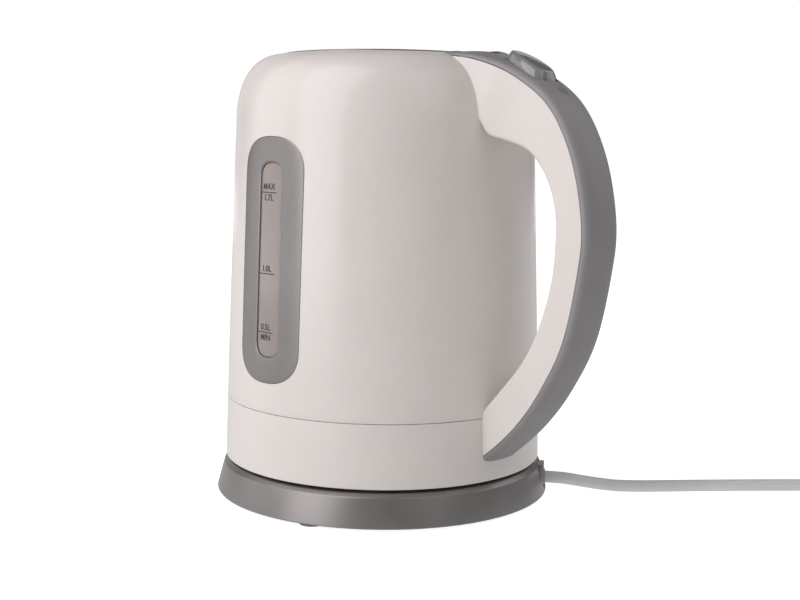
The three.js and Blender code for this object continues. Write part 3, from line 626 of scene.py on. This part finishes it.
def plug_pin(name, side):
    pin = turned_part(name, [(0, 48), (2.4, 48), (2.4, 74.6, 1.4), (1.5, 76.8, 1), (0, 76.8)], 40)
    return moved(pin, ON_PLUG @ Matrix.Translation((0, PLUG_PIN_OFFSET * side, 0)))


def plug_clip(name, side):
    points = rounded([(17.5 * side, 47), (18.5 * side, 47, 0.3), (18.5 * side, 57, 0.6),
                      (17.5 * side, 57, 0.2)], 3)
    clip = softened(prism(name, points, -3, 3, "XZ"), 0.25)
    return moved(clip, ON_PLUG)


plug = finish_piece(plug_moulding(), "base", "cord_pvc", "plug_body")
pins = [finish_piece(plug_pin(f"plug_prong_{i}", side), "base", "plated_metal", f"plug_pin_{i}")
        for i, side in ((1, -1), (2, 1))]
clips = [finish_piece(plug_clip(f"plug_clip_{i}", side), "base", "plated_metal",
                      f"plug_earth_clip_{i}") for i, side in ((1, 1), (2, -1))]


# ---- power base

def base_housing():
    """The base's shell, with a ring for the jug and the cord's notch."""
    shell = turned_part("base_housing", [
        (BASE_RADIUS, FOOT_HEIGHT, 0.5), (80.5, 15.2, 1.6), (78.4, BASE_TOP, 1.3),
        (71.4, BASE_TOP, 1.0), (68.7, 14.6, 1.0), (46, 14.6), (45.4, 14.25, 0.2),
        (44.4, 14.25, 0.2), (43.8, 14.6), (25, 14.6, 1.2), (23.5, 17.5, 0.9), (19, 17.5, 0.5),
        (19, 15.3), (22.3, 15.3), (23.8, 12.4), (69.4, 12.4), (71.8, 14.7), (77.4, 14.7),
        (BASE_RADIUS - 2.3, FOOT_HEIGHT, 0.3),
    ])
    notch = box("cut", (66, -6.15, 3), (92, 6.15, 15.8))
    return carve(shell, swung(notch, CORD_ANGLE))


def base_underplate():
    """The plate under the base, with foot pockets, screw wells and air slots."""
    low = FOOT_HEIGHT
    plate = turned_part("base_underplate", [
        (0, low), (14, low, 0.3), (14.6, 2.1, 0.2), (17.4, 2.1, 0.2), (18, low, 0.3),
        (50, low, 0.3), (50.6, 2.0, 0.2), (51.4, 2.0, 0.2), (52, low, 0.3), (80.6, low, 0.4),
        (80.6, 4), (0, 4),
    ], steps=3)
    cuts = []
    for angle in FOOT_ANGLES:
        width = FOOT_STEM_RADIUS + 0.2
        pocket = lathe("cut", [(0, 0), (width, 0), (width, 3.3), (0, 3.3)], 48)
        cuts.append(shifted(pocket, around(angle, FOOT_CIRCLE)))
    for angle in BASE_SCREW_ANGLES:
        well = lathe("cut", [(0, 0), (3.6, 0), (3.4, 2.9), (SCREW_HOLE_RADIUS, 2.9),
                             (SCREW_HOLE_RADIUS, 9), (0, 9)], 48)
        cuts.append(shifted(well, around(angle, BASE_SCREW_CIRCLE)))
    for i in range(9):
        slot = box("cut", (26, -0.9, 0), (40, 0.9, 6), 0.85)
        cuts.append(swung(slot, 50 + 10 * i))
    return carve(plate, *cuts)


def screw_head(name, head, place):
    """A pan head with a cross recess, and its shank."""
    body = turned_part(name, [(0, 0), (head - 0.7, 0, 0.5), (head, 0.7, 0.4), (head, 1.2, 0.1),
                              (1.5, 1.2), (1.5, 9), (0, 9.8)], 48, 4)
    arms = [box("cut", (-head * 0.55, -0.35, -1), (head * 0.55, 0.35, 0.8)),
            box("cut", (-0.35, -head * 0.55, -1), (0.35, head * 0.55, 0.8))]
    return shifted(carve(body, *arms), place)


finish_piece(base_housing(), "base", "grey_plastic", "base_cover")
finish_piece(base_underplate(), "base", "grey_plastic", "base_plate")
for i, angle in enumerate(FOOT_ANGLES, 1):
    pad = turned_part(f"foot_pad_{i}", [
        (0, 0.25), (3.2, 0.25, 0.2), (3.6, 0, 0.2), (FOOT_RADIUS - 0.2, 0, 0.15),
        (FOOT_RADIUS, 0.2, 0.15), (FOOT_RADIUS, 1.35), (FOOT_STEM_RADIUS, 1.35),
        (FOOT_STEM_RADIUS, 3.1), (0, 3.1),
    ], 64)
    shifted(pad, around(angle, FOOT_CIRCLE))
    finish_piece(pad, "base", "rubber", f"base_foot_{i}")
for i, angle in enumerate(BASE_SCREW_ANGLES, 1):
    head = screw_head(f"base_screw_head_{i}", 3, around(angle, BASE_SCREW_CIRCLE, 1.6))
    finish_piece(head, "base", "plated_metal", f"base_screw_{i}")

socket = turned_part("socket_tower", [
    (0, 4.3), (21.5, 4.3), (21.5, 11.5, 0.4), (17.5, 11.5, 0.5), (17.5, 25.6, 0.6), (16.3, 27, 0.5),
    (13.2, 27, 0.3), (12.9, 26.6, 0.2), (12.9, 15), (9.1, 15), (9.1, 26.6, 0.2), (8.8, 27, 0.3),
    (3.9, 27, 0.4), (3.4, 26.3, 0.3), (3.4, 13), (0, 13),
], 128, 3)
finish_piece(socket, "base", "black_plastic", "connector_socket")
for name, inner, outer, low, old in (("line_sleeve", 2.6, 3.1, 13.3, "line_contact"),
                                     ("earth_sleeve", 9.4, 10, 15.3, "earth_contact"),
                                     ("neutral_sleeve", 12.2, 12.7, 15.3, "neutral_contact")):
    sleeve = turned_part(name, [(inner, low), (outer, low), (outer, 25, 0.15), (inner, 25, 0.15)],
                         96, 2)
    finish_piece(sleeve, "base", "brass", old)


def cord_grip():
    """The block that holds the cord in the base's wall, and its ribbed taper inside."""
    taper = [(0, -12)]
    for i in range(5):
        at = -12 + 4 * i
        width = 3.9 + 0.28 * i
        taper += [(width, at, 0.2), (width, at + 2.6, 0.2), (width - 0.6, at + 2.7, 0.1),
                  (width - 0.6, at + 3.9, 0.1)]
    sleeve = turned_part("sleeve", taper + [(5.2, 9), (0, 9)], 48, 2)
    level = Matrix.Rotation(math.pi / 2, 4, "Y")
    moved(sleeve, Matrix.Translation((68, 0, CORD_EXIT_HEIGHT)) @ level)
    block = softened(box("boss", (76.6, -5.9, 4.6), (82.9, 5.9, 15.0), 0.8), 0.5)
    lip = turned_part("lip", [(0, 0), (4.5, 0), (4.5, 1.2, 0.6), (3.3, 1.6, 0.3), (0, 1.6)], 48, 3)
    moved(lip, Matrix.Translation((82.0, 0, CORD_EXIT_HEIGHT)) @ level)
    return swung(joined("cord_grip", sleeve, block, lip), CORD_ANGLE)


finish_piece(cord_grip(), "base", "grey_plastic", "cord_gland")


# ---- connector and lower housing

connector = turned_part("connector_face", [
    (0, 33.6), (2.2, 33.6), (2.2, 30, 0.3), (10.4, 30, 0.3), (10.4, 16.5, 0.2), (11.6, 16.5, 0.2),
    (11.6, 30, 0.3), (16, 30, 0.3), (16.6, 30.5, 0.2), (18.4, 30.5, 0.2), (19, 30, 0.3),
    (24, 30, 0.8), (24, 38.1), (0, 38.1),
], 128, 3)
finish_piece(connector, "connector", "black_plastic", "connector_plug")
pin = turned_part("contact_pin", [
    (0, 15), (1, 15, 0.4), (1.9, 16.6, 0.6), (1.9, 33.3), (0, 33.3),
], 48)
finish_piece(pin, "connector", "brass", "line_pin")

seam_low = SEAM - SEAM_HALF_GAP
housing = turned_part("lower_housing", [
    (jug_radius(JUG_BOTTOM), JUG_BOTTOM, 0.7), *[(jug_radius(z), z) for z in (26, 34, 42)],
    (jug_radius(seam_low), seam_low, 0.3), (jug_radius(seam_low, -WALL), seam_low),
    (jug_radius(JUG_BOTTOM, -WALL), JUG_BOTTOM, 0.4),
])
finish_piece(housing, "jug", "white_plastic", "bottom_housing")


def underside_plate():
    """The plate under the jug, with screw holes and drain slots."""
    plate = turned_part("underside_plate", [
        (19.5, 20.6, 0.5), (26, 20.6, 0.4), (26.8, 21.4, 0.2), (30.2, 21.4, 0.2), (31, 20.6, 0.4),
        (60, 20.6, 0.3), (60.5, 21.1, 0.2), (61.5, 21.1, 0.2), (62, 20.6, 0.3), (76.6, 20.6, 0.4),
        (76.6, 23), (19.5, 23),
    ], steps=3)
    cuts = []
    for angle in JUG_SCREW_ANGLES:
        hole = lathe("cut", [(0, 18), (SCREW_HOLE_RADIUS, 18), (SCREW_HOLE_RADIUS, 26), (0, 26)],
                     32)
        cuts.append(shifted(hole, around(angle, JUG_SCREW_CIRCLE)))
    for i in range(24):
        slot = box("cut", (36, -0.8, 18), (54, 0.8, 26), 0.75)
        cuts.append(swung(slot, 15 * i))
    return carve(plate, *cuts)


finish_piece(underside_plate(), "jug", "white_plastic", "underside_cover")
for i, angle in enumerate(JUG_SCREW_ANGLES, 1):
    head = screw_head(f"jug_screw_head_{i}", 3.4, around(angle, JUG_SCREW_CIRCLE, 19.1))
    finish_piece(head, "jug", "plated_metal", f"jug_screw_{i}")

floor_plate = turned_part("boiler_plate", [
    (0, 55), (72.8, 55, 0.4), (73.4, 55.6, 0.3), (73.4, 56.4, 0.5), (72, 57, 0.5),
    (66, 57, 1.2), (62, 56.2, 1.2), (56, 56.2, 0.5), (54, 56.7, 0.6), (40, 56.7, 0.6),
    (38, 56.2, 0.5), (0, 56.2),
], steps=4)
finish_piece(floor_plate, "jug", "steel", "heater_plate")


# ---- jug

def spout_solid(name, shrink, low, high, rows=26):
    """A pouring lip: rounded V sections that grow outwards from the jug's wall up to the rim."""
    rings = []
    for i in range(rows + 1):
        z = low + (high - low) * i / rows
        rise = min(max((z - SPOUT_GROWTH[0]) / (SPOUT_GROWTH[1] - SPOUT_GROWTH[0]), 0), 1)
        reach = between(SPOUT_REACH, math.sin(rise * math.pi / 2) ** 1.3) - shrink
        half = between(SPOUT_HALF_WIDTH, rise**0.8) - shrink
        ring = []
        for k in range(33):
            turn = math.pi * (k / 32 - 0.5)
            across = half * math.copysign(abs(math.sin(turn)) ** 1.15, turn)
            out = SPOUT_ROOT + (reach - SPOUT_ROOT) * math.cos(turn) ** 0.85
            ring.append((-out, across, z))
        ring += [(-SPOUT_BACK, half, z), (-SPOUT_BACK, -half, z)]
        rings.append(ring)
    return mesh_piece(name, *skinned(rings, caps=True), sharp=50)


def slot_outline(half, low, high, end, arc=36, side=30):
    """Points round an upright slot, in (across, height). Its curved ends, of a given height, are a
    little squarer than an ellipse."""
    points = []
    for way, start, finish in ((1, high - end, low + end), (-1, low + end, high - end)):
        for k in range(arc + 1):
            turn = math.pi * k / arc
            share = math.copysign(abs(math.cos(turn))**SLOT_POWER, math.cos(turn))
            rise = abs(math.sin(turn))**SLOT_POWER * end
            points.append((way * share * half, start + way * rise))
        for k in range(1, side):
            points.append((-way * half, start + (finish - start) * k / side))
    return points


def on_gauge(across, z, depth):
    """A point of the gauge, a depth below the jug's surface on the -Y side."""
    r = jug_radius(z) - depth
    return (across, -math.sqrt(r * r - across * across), z)


def gauge_rings(rows, outer, inner):
    """Rings of slot outlines. Each row is (share of the way from outer to inner, depth)."""
    rings = []
    for share, depth in rows:
        size = [between(pair, share) for pair in zip(outer, inner)]
        rings.append([on_gauge(u, z, depth) for u, z in slot_outline(*size)])
    return rings


def jug_shell():
    """The white jug: its wall, shoulder, spout, lid ledge and hinge ears."""
    seam_high = SEAM + SEAM_HALF_GAP
    outside = [(jug_radius(seam_high) - 0.3, seam_high),
               (jug_radius(seam_high) - 0.08, seam_high + 0.1), *jug_side(seam_high + 0.35)]
    inside = [p for p in jug_side(seam_high, -WALL - 0.2) if p[1] < LID_LEDGE - 3.2]
    lip = rounded([(52.2, RIM_TOP, 0.3), (51.3, RIM_TOP - 0.1, 0.35), (51.3, LID_LEDGE, 0.2),
                   (46, LID_LEDGE, 0.5), (46, 213, 0.5), (57, 213)], 3)
    shell = lathe("jug_shell", [*outside[:-1], *lip, *inside[::-1]])
    beak = carve(spout_solid("beak", 0, 184, 216.6), jug_core("cut", -1.2))
    carve(shell, beak, operation="UNION")
    ears = carve(box("ears", (49, -EAR_HALF_WIDTH, 207), (60, EAR_HALF_WIDTH, 214.5)),
                 jug_core("keep", -0.5), operation="INTERSECT")
    carve(shell, ears, operation="UNION")
    channel = spout_solid("cut", WALL - 0.4, 190.5, 224)
    mouth = prism("cut", slot_outline(*GAUGE_EDGE), -90, -60, "XZ")
    bay = box("cut", (40, -9.6, 203), (61.5, 9.6, 224), 1)
    pocket = lathe("cut", [(0, 208.2), (3.2, 208.2), (3.2, 219), (0, 219)], 48)
    shifted(pocket, (SPRING_PLACE, 0, 0))
    bore = cross_bar("cut", HINGE, PIN_HOLE_RADIUS, 13)
    return carve(shell, channel, mouth, bay, pocket, bore)


finish_piece(jug_shell(), "jug", "white_plastic", "jug_body", "jug_shoulder")

surround = mesh_piece("gauge_surround", *skinned(gauge_rings([
    (0, 4.6), (0, 0.35), (0.01, 0.12), (0.03, 0.02), (0.06, 0.0), (0.25, 0.0), (0.5, 0.05),
    (0.75, 0.15), (0.92, 0.25), (0.965, 0.35), (0.99, 0.6), (1, 1.0), (1, 2.4), (1, 4.6),
    (0.5, 4.6),
], SURROUND_EDGE, WINDOW_EDGE), closed_row=True))
finish_piece(surround, "jug", "grey_plastic", "gauge_frame")
pane = mesh_piece("gauge_pane", *skinned(gauge_rings([
    (1, 3.8), (0.6, 3.8), (0, 3.8), (0, 1.4), (0.02, 1.25), (0.06, 1.18), (0.35, 1.14),
    (0.7, 1.12), (1, 1.12),
], PANE_EDGE, PANE_MIDDLE)))
finish_piece(pane, "jug", "window_plastic", "gauge_window")


def flat_text(body, size):
    """Letters as flat points and faces in (across, height) millimetres, on their own middle."""
    data = bpy.data.curves.new("letters", "FONT")
    data.body = body
    data.size = size * LETTER_SCALE
    data.offset = LETTER_WEIGHT
    data.resolution_u = 4
    data.align_y = "CENTER"
    made = added("letters", data)
    view = bpy.context.evaluated_depsgraph_get()
    mesh = bpy.data.meshes.new_from_object(made.evaluated_get(view))
    points = [(v.co.x, v.co.y) for v in mesh.vertices]
    faces = [tuple(p.vertices) for p in mesh.polygons]
    bpy.data.objects.remove(made)
    bpy.data.meshes.remove(mesh)
    return points, faces


def level_marks():
    """The printed marks on the window: letters, and the line of each level."""
    verts, faces = [], []
    for text, height, size in LEVEL_MARKS:
        if text == "line":
            steps = 12
            flat = [(LINE_START + LINE_LENGTH * k / steps, side * size / 2)
                    for k in range(steps + 1) for side in (-1, 1)]
            shown = [(2 * k, 2 * k + 2, 2 * k + 3, 2 * k + 1) for k in range(steps)]
        else:
            flat, shown = flat_text(text, size)
            low, high = min(x for x, _ in flat), max(x for x, _ in flat)
            flat = [(x - (low + high) / 2 + LETTERS_MIDDLE, y) for x, y in flat]
        start = len(verts)
        verts += [on_gauge(x, height + y, MARK_DEPTH) for x, y in flat]
        faces += [tuple(start + i for i in face) for face in shown]
    return mesh_piece("level_marks", verts, faces)


finish_piece(level_marks(), "jug", "window_plastic", look="ink")


# ---- handle

spots = spline(HANDLE_EDGE, HANDLE_STEPS)
edge = [Vector((p.x, p.y)) for p in spots]
cover_thickness = [p.z for p in spots]
gap_line = spline(FINGER_GAP, HANDLE_STEPS)


def normals(line):
    """Unit vectors to the left of a line as it runs."""
    out = []
    for before, after in zip([line[0], *line], [*line[1:], line[-1]]):
        along = (after - before).normalized()
        out.append(Vector((-along.y, along.x)))
    return out


edge_normals = normals(edge)


def facing(line, other, spread=14):
    """For each point of a line, the nearest point of another, with the pairing smoothed."""
    nearest = [min(range(len(other)), key=lambda k: (other[k] - p).length) for p in line]
    out = []
    for i in range(len(line)):
        window = nearest[max(i - spread, 0):i + spread + 1]
        at = sum(window) / len(window)
        k = min(int(at), len(other) - 2)
        out.append(other[k].lerp(other[k + 1], at - k))
    return out


def widened(distance, across):
    """Across the handle, wider where it meets the shoulder of the jug."""
    t = min(max((FLARE_START - distance) / (FLARE_START - FLARE_END), 0), 1)
    return across * (1 + HANDLE_FLARE * t * t * (3 - 2 * t))


def on_handle(start, along, section):
    """A ring on the handle from a section of (distance from a start along a direction, across)."""
    ring = [(start + along * reach, across) for reach, across in section]
    return [(spot.x, widened(spot.x, across), spot.y) for spot, across in ring]


def handle_grip():
    """The white moulding: two sides joined round the finger gap, open under the grey cover."""
    half, corner, inner_corner = HANDLE_HALF_WIDTH, 2.2, 1.2
    rings = []
    for start, end in zip(edge, facing(edge, gap_line)):
        length = (end - start).length
        inward = (end - start).normalized()
        outer = rounded([(0, half, 0.25), (length, half, corner), (length, -half, corner),
                         (0, -half, 0.25)], 8)
        inner = rounded([(0, WALL - half, 0.2), (length - WALL, WALL - half, inner_corner),
                         (length - WALL, half - WALL, inner_corner), (0, half - WALL, 0.2)], 4)
        rings.append(on_handle(start, inward, [*outer, *inner]))
    grip = mesh_piece("handle_grip", *skinned(rings, caps=True))
    return carve(grip, jug_core("cut", -0.9))


crown = [spot + out * thick for spot, out, thick in zip(edge, edge_normals, cover_thickness)]


def crown_height(distance):
    """Height of the handle's ridge at a distance from the jug's axis, over its upper half."""
    for near, far in zip(crown, crown[1:]):
        if near.x <= distance <= far.x:
            return near.lerp(far, (distance - near.x) / (far.x - near.x)).y
    return crown[0].y


def dome(half, low, high, steps=22):
    """Half of a rounded section in (height, across), from side to side over the crown."""
    points = []
    for k in range(steps + 1):
        turn = math.pi * k / steps
        across = half * math.copysign(abs(math.cos(turn)) ** DOME_POWER, math.cos(turn))
        points.append(Vector((low + (high - low) * math.sin(turn) ** DOME_POWER, across)))
    return points


def pad_plan(margin):
    """The switch pad's plan, grown by a margin."""
    side = spline([(s, half, 0) for s, half in PAD_PLAN], 6)
    side = [(p.x + math.copysign(margin, p.x - PAD_MIDDLE), p.y + margin) for p in side]
    return [*side, *[(s, -half) for s, half in side[::-1]]]


def handle_back():
    """The grey cover that closes the handle, with its openings for the switch and the lid key."""
    hollow = HANDLE_HALF_WIDTH - COVER_WALL
    rings = []
    for spot, out, thick in zip(edge, edge_normals, cover_thickness):
        roof = max(thick - COVER_WALL - 0.2, 0.5)
        inside = rounded([(COVER_LOW, -hollow), (roof, -hollow, 0.5), (roof, hollow, 0.5),
                          (COVER_LOW, hollow)], 3)
        outside = dome(HANDLE_HALF_WIDTH, COVER_LOW, thick)
        rings.append(on_handle(spot, out, [*outside, *inside]))
    cover = mesh_piece("handle_back", *skinned(rings, caps=True))
    lid_room = lathe("cut", [(0, 200), (54, 200), (54, OVERHEAD), (0, OVERHEAD)], 192)
    knuckle_bay = box("cut", (40, -12.6, 200), (61.3, 12.6, OVERHEAD), 1)
    key_slot = box("cut", (KEY_FRONT - 0.4, -KEY_SLOT_HALF_WIDTH, 200),
                   (KEY_BACK + 0.6, KEY_SLOT_HALF_WIDTH, OVERHEAD), 1.2)
    dip = box("cut", (KEY_BACK - 2, -KEY_SLOT_HALF_WIDTH, crown_height(78) - 1.1),
              (81, KEY_SLOT_HALF_WIDTH, OVERHEAD), 1)
    switch_well = prism("cut", pad_plan(0.5), 190, 235)
    carve(cover, jug_core("cut", 0.1), lid_room, knuckle_bay, switch_well)
    return carve(cover, key_slot, dip)


finish_piece(handle_grip(), "jug", "white_plastic", "handle_shell")
# The handle's back gets the lighter copy of the grey plastic, with painted light in its colour.
finish_piece(handle_back(), "jug", "grey_plastic", "handle_cover", look="cover_plastic_painted_light")


def off_mark():
    """A printed ring with a bar through its middle, on the handle's ridge behind the switch."""
    def printed(along, across):
        at = OFF_MARK_PLACE + along * slope
        return (at, across, crown_height(at) + 0.05)

    fall = crown_height(OFF_MARK_PLACE - 0.5) - crown_height(OFF_MARK_PLACE + 0.5)
    slope = math.cos(math.atan(fall))
    steps = 48
    verts = []
    for k in range(steps):
        turn = 2 * math.pi * k / steps
        verts += [printed(r * math.cos(turn), r * math.sin(turn)) for r in OFF_MARK_RADII]
    faces = [(2 * k, 2 * k + 1, (2 * k + 3) % (2 * steps), (2 * k + 2) % (2 * steps))
             for k in range(steps)]
    verts += [printed(along, across) for along in (-1, 1) for across in (-0.2, 0.2)]
    faces.append((2 * steps, 2 * steps + 1, 2 * steps + 3, 2 * steps + 2))
    return mesh_piece("off_mark", verts, faces)


finish_piece(off_mark(), "jug", "grey_plastic", look="ink")


# ---- switch and lid

def pad_rise(distance):
    """How far the pad's top stands above the handle's ridge."""
    return between(PAD_RISE, (distance - PAD_FRONT) / (PAD_REAR - PAD_FRONT))


def switch_pad():
    """A smooth raised pad: its sides draw in from the plan at the handle to a smaller top."""
    plan = pad_plan(0)
    rings = [[(s, y, crown_height(s) - 4) for s, y in plan]]
    for inset, rise in PAD_SIDE:
        ring = []
        for s, y in plan:
            reach = 2 * (PAD_MIDDLE - s) / (PAD_REAR - PAD_FRONT)
            near = s + inset * reach * (PAD_DRAFT[0] if reach > 0 else PAD_DRAFT[1])
            across = y * (1 - inset * PAD_DRAFT[2])
            ring.append((near, across, crown_height(near) + rise * pad_rise(near)))
        rings.append(ring)
    for share in (0.9, 0.7, 0.45, 0.2):
        ring = []
        for s, y, _ in rings[len(PAD_SIDE)]:
            near = between((PAD_MIDDLE, s), share)
            rise = (1.07 - 0.07 * share) * pad_rise(near)
            ring.append((near, y * share, crown_height(near) + rise))
        rings.append(ring)
    pad = mesh_piece("switch_pad", *skinned(rings, caps=True), sharp=40)
    stem = prism("stem", rounded(PAD_STEM, 3), -6.4, 6.4, "XZ")
    carve(pad, stem, operation="UNION", sharp=40)
    return carve(pad, cross_bar("cut", ROCKER_PIVOT, 1.5, 12), sharp=40)


finish_piece(switch_pad(), "rocker", "rocker_plastic", "switch_rocker")


def lid_plate():
    """The lid's grey cap and its hinge knuckle."""
    plate = turned_part("lid_plate", [
        (0, 215.6), (LID_RADIUS - 1.6, 215.6), (LID_RADIUS, 216.8, 0.3), (LID_RADIUS, LID_TOP, 0.9),
        (44, LID_TOP, 0.8), (42.6, 217.2, 0.8), (0, 216.9),
    ])
    bridge = prism("bridge", rounded([(43, 213.4), (54.5, 213.4), (54.5, 217.7), (43, 217.7)], 3),
                   -KNUCKLE_HALF_WIDTH, KNUCKLE_HALF_WIDTH, "XZ")
    carve(bridge, lathe("cut", [(0, 200), (45, 200), (45, 215.6), (0, 215.6)], 96))
    knuckle = softened(cross_bar("knuckle", HINGE, KNUCKLE_RADIUS, KNUCKLE_HALF_WIDTH, 64), 0.5)
    carve(plate, bridge, knuckle, operation="UNION")
    return carve(plate, cross_bar("cut", HINGE, PIN_HOLE_RADIUS, 12))


finish_piece(lid_plate(), "lid", "grey_plastic", "lid_cap")
cup = turned_part("lid_cup", [
    (0, 206.6), (8, 206.6, 0.4), (9, 206, 0.4), (42, 206, 1.8), (44, 208, 0.8), (44, 215.3, 0.3),
    (42, 215.3, 0.3), (42, 208.8, 1), (41, 208.2, 0.5), (0, 208.2),
])
finish_piece(cup, "lid", "white_plastic", "lid_inner")


def lid_key():
    """The key that opens the lid: flush with the handle's ridge, with a raised lip behind."""
    lip = [(KEY_LIP + s, crown_height(KEY_LIP + s) + rise) for s, rise in KEY_PROFILE]
    outline = [(KEY_FRONT, 212.9), (KEY_FRONT + 0.8, 211.8), (KEY_BACK, 211.8), *lip,
               (KEY_FRONT + 0.3, crown_height(KEY_FRONT) - 0.1)]
    rings = []
    steps = 8
    for k in range(-steps, steps + 1):
        across = KEY_HALF_WIDTH * k / steps
        drop = 0.9 * (k / steps) ** 2
        rings.append([(s, across, z - drop if z > 213.5 else z) for s, z in outline])
    return softened(mesh_piece("lid_key", *skinned(rings, caps=True), sharp=40), 0.4, 4, 50)


finish_piece(lid_key(), "button", "grey_plastic", "lid_button")


# ---- filter

def filter_net():
    """Crossed wires of the spout's sieve."""
    verts, faces = [], []
    pitch = 0.8
    lines = [((-59.8, -11.8 + pitch * i, 190.6), (-59.8, -11.8 + pitch * i, 207.9))
             for i in range(30)]
    lines += [((-59.6, -11.9, 190.9 + pitch * i), (-59.6, 11.9, 190.9 + pitch * i))
              for i in range(22)]
    for start, end in lines:
        along = (Vector(end) - Vector(start)).normalized()
        side = along.cross(Vector((1, 0, 0)))
        section = [NET_WIRE_RADIUS * (math.cos(a) * side + math.sin(a) * Vector((1, 0, 0)))
                   for a in (math.pi / 3 * k for k in range(6))]
        rings = [[Vector(at) + out for out in section] for at in (start, end)]
        more, shown = skinned(rings, caps=True)
        faces += [tuple(i + len(verts) for i in face) for face in shown]
        verts += more
    return mesh_piece("filter_net", verts, faces, 60)


finish_piece(filter_net(), "jug", "steel", "filter_mesh")
bezel = swung(box("filter_bezel", (188, -15, 58.6), (209.4, 15, 61), 2.5, 6), -90, "Y")
opening = swung(box("cut", (190.6, -12, 50), (207.9, 12, 70), 1.5, 6), -90, "Y")
carve(bezel, opening)
finish_piece(softened(bezel, 0.4), "jug", "grey_plastic", "filter_frame")


# ---- other CAD pieces

CAD_LOOKS = {
    "dark_plastic": ["cord_clamp"], "cord_pvc": ["inner_lead"], "silicone": ["plate_seal"],
    "black_plastic": ["control_unit", "steam_switch"], "lamp_glass": ["switch_lamp"],
    "plated_metal": ["bimetal_disc_1", "bimetal_disc_2", "steam_bimetal"],
    "wire_black": ["switch_wire_1"], "wire_white": ["switch_wire_2"],
    "steel": ["heating_element", "rocker_pin", "lid_hinge_pin", "button_spring"],
}
for look, names in CAD_LOOKS.items():
    for name in names:
        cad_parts[name].data.materials.clear()
        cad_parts[name].data.materials.append(LOOK[look])


# ---- studio

KETTLE_MIDDLE = Vector((0, 0, 0.11))


def glowing(name, glow, albedo=0.0):
    """A pale matt surface of the studio that also gives light of its own."""
    return material(name, tint(albedo), tint(albedo * 1.02), (0.75, 0.85), grain=(300, 0.02),
                    Emission_Color=(1, 1, 1, 1), Emission_Strength=glow, Specular_IOR_Level=0.0)


def stage_piece(name, shape, look, seen_by_camera):
    """A piece of the studio, which either shows in the picture or lights the kettle."""
    data = bpy.data.meshes.new(name)
    shape.to_mesh(data)
    shape.free()
    data.materials.append(look)
    made = added(name, data)
    made.visible_camera = seen_by_camera
    made.visible_diffuse = made.visible_glossy = not seen_by_camera
    made.visible_transmission = made.visible_shadow = False


def sheet(size, height):
    """A level square, in metres, of twice the size."""
    shape = bmesh.new()
    bmesh.ops.create_grid(shape, x_segments=1, y_segments=1, size=size,
                          matrix=Matrix.Translation((0, 0, height)))
    return shape


def floor_look():
    """The floor: its own light is a little weaker near the kettle, where contact shade shows."""
    look = glowing("pale_floor", 1.0, 0.8)
    tree = look.node_tree
    place = node(tree, "ShaderNodeTexCoord").outputs["Object"]
    distance = node(tree, "ShaderNodeVectorMath", operation="LENGTH")
    tree.links.new(place, distance.inputs[0])
    tree.links.new(ranged(tree, distance.outputs["Value"], 0.84, 1.02, 0.2, 0.8),
                   tree.nodes["Principled BSDF"].inputs["Emission Strength"])
    return look


def studio():
    """Floor, backdrop and the faint light from all round."""
    stage_piece("studio_floor", sheet(5, 0), floor_look(), True)
    stage_piece("floor_bounce", sheet(5, -0.001), glowing("floor_glow", 0.66), False)
    backdrop = bmesh.new()
    bmesh.ops.create_uvsphere(backdrop, u_segments=48, v_segments=24, radius=6.5)
    bmesh.ops.reverse_faces(backdrop, faces=backdrop.faces)
    stage_piece("studio_backdrop", backdrop, glowing("pale_backdrop", 1.02), True)
    world = bpy.data.worlds.new("studio")
    world.use_nodes = True
    sky = world.node_tree.nodes["Background"].inputs
    sky["Color"].default_value = (1, 1, 1, 1)
    sky["Strength"].default_value = 0.05
    bpy.context.scene.world = world
    bpy.context.scene.view_settings.view_transform = "Standard"


def softbox(name, azimuth, elevation, distance, width, height, radiance, colour=(1, 1, 1)):
    """A rectangular lamp that faces the kettle. Azimuth counts from the camera, left positive."""
    turn = math.radians(CAMERA_TURN - 90 - azimuth)
    rise = math.radians(elevation)
    away = Vector((math.cos(turn) * math.cos(rise), math.sin(turn) * math.cos(rise),
                   math.sin(rise)))
    lamp = bpy.data.lights.new(name, "AREA")
    lamp.shape = "RECTANGLE"
    lamp.size = width
    lamp.size_y = height
    lamp.energy = radiance * math.pi * width * height
    lamp.color = colour
    made = added(name, lamp)
    made.location = KETTLE_MIDDLE + away * distance
    made.rotation_euler = (-away).to_track_quat("-Z", "Y").to_euler()
    made.visible_camera = False


studio()
softbox("key_light", 50, 32, 1.3, 0.9, 1.9, 2.6, (1, 0.965, 0.98))
softbox("left_light", 95, 25, 1.3, 1.0, 1.5, 0.95, (1, 0.97, 0.985))
softbox("right_light", -39, 35, 1.5, 0.6, 1.4, 0.8)
softbox("handle_light", -104, 34, 1.0, 0.9, 0.9, 1.0)
softbox("back_light", 175, 12, 1.8, 2.2, 1.4, 0.45)
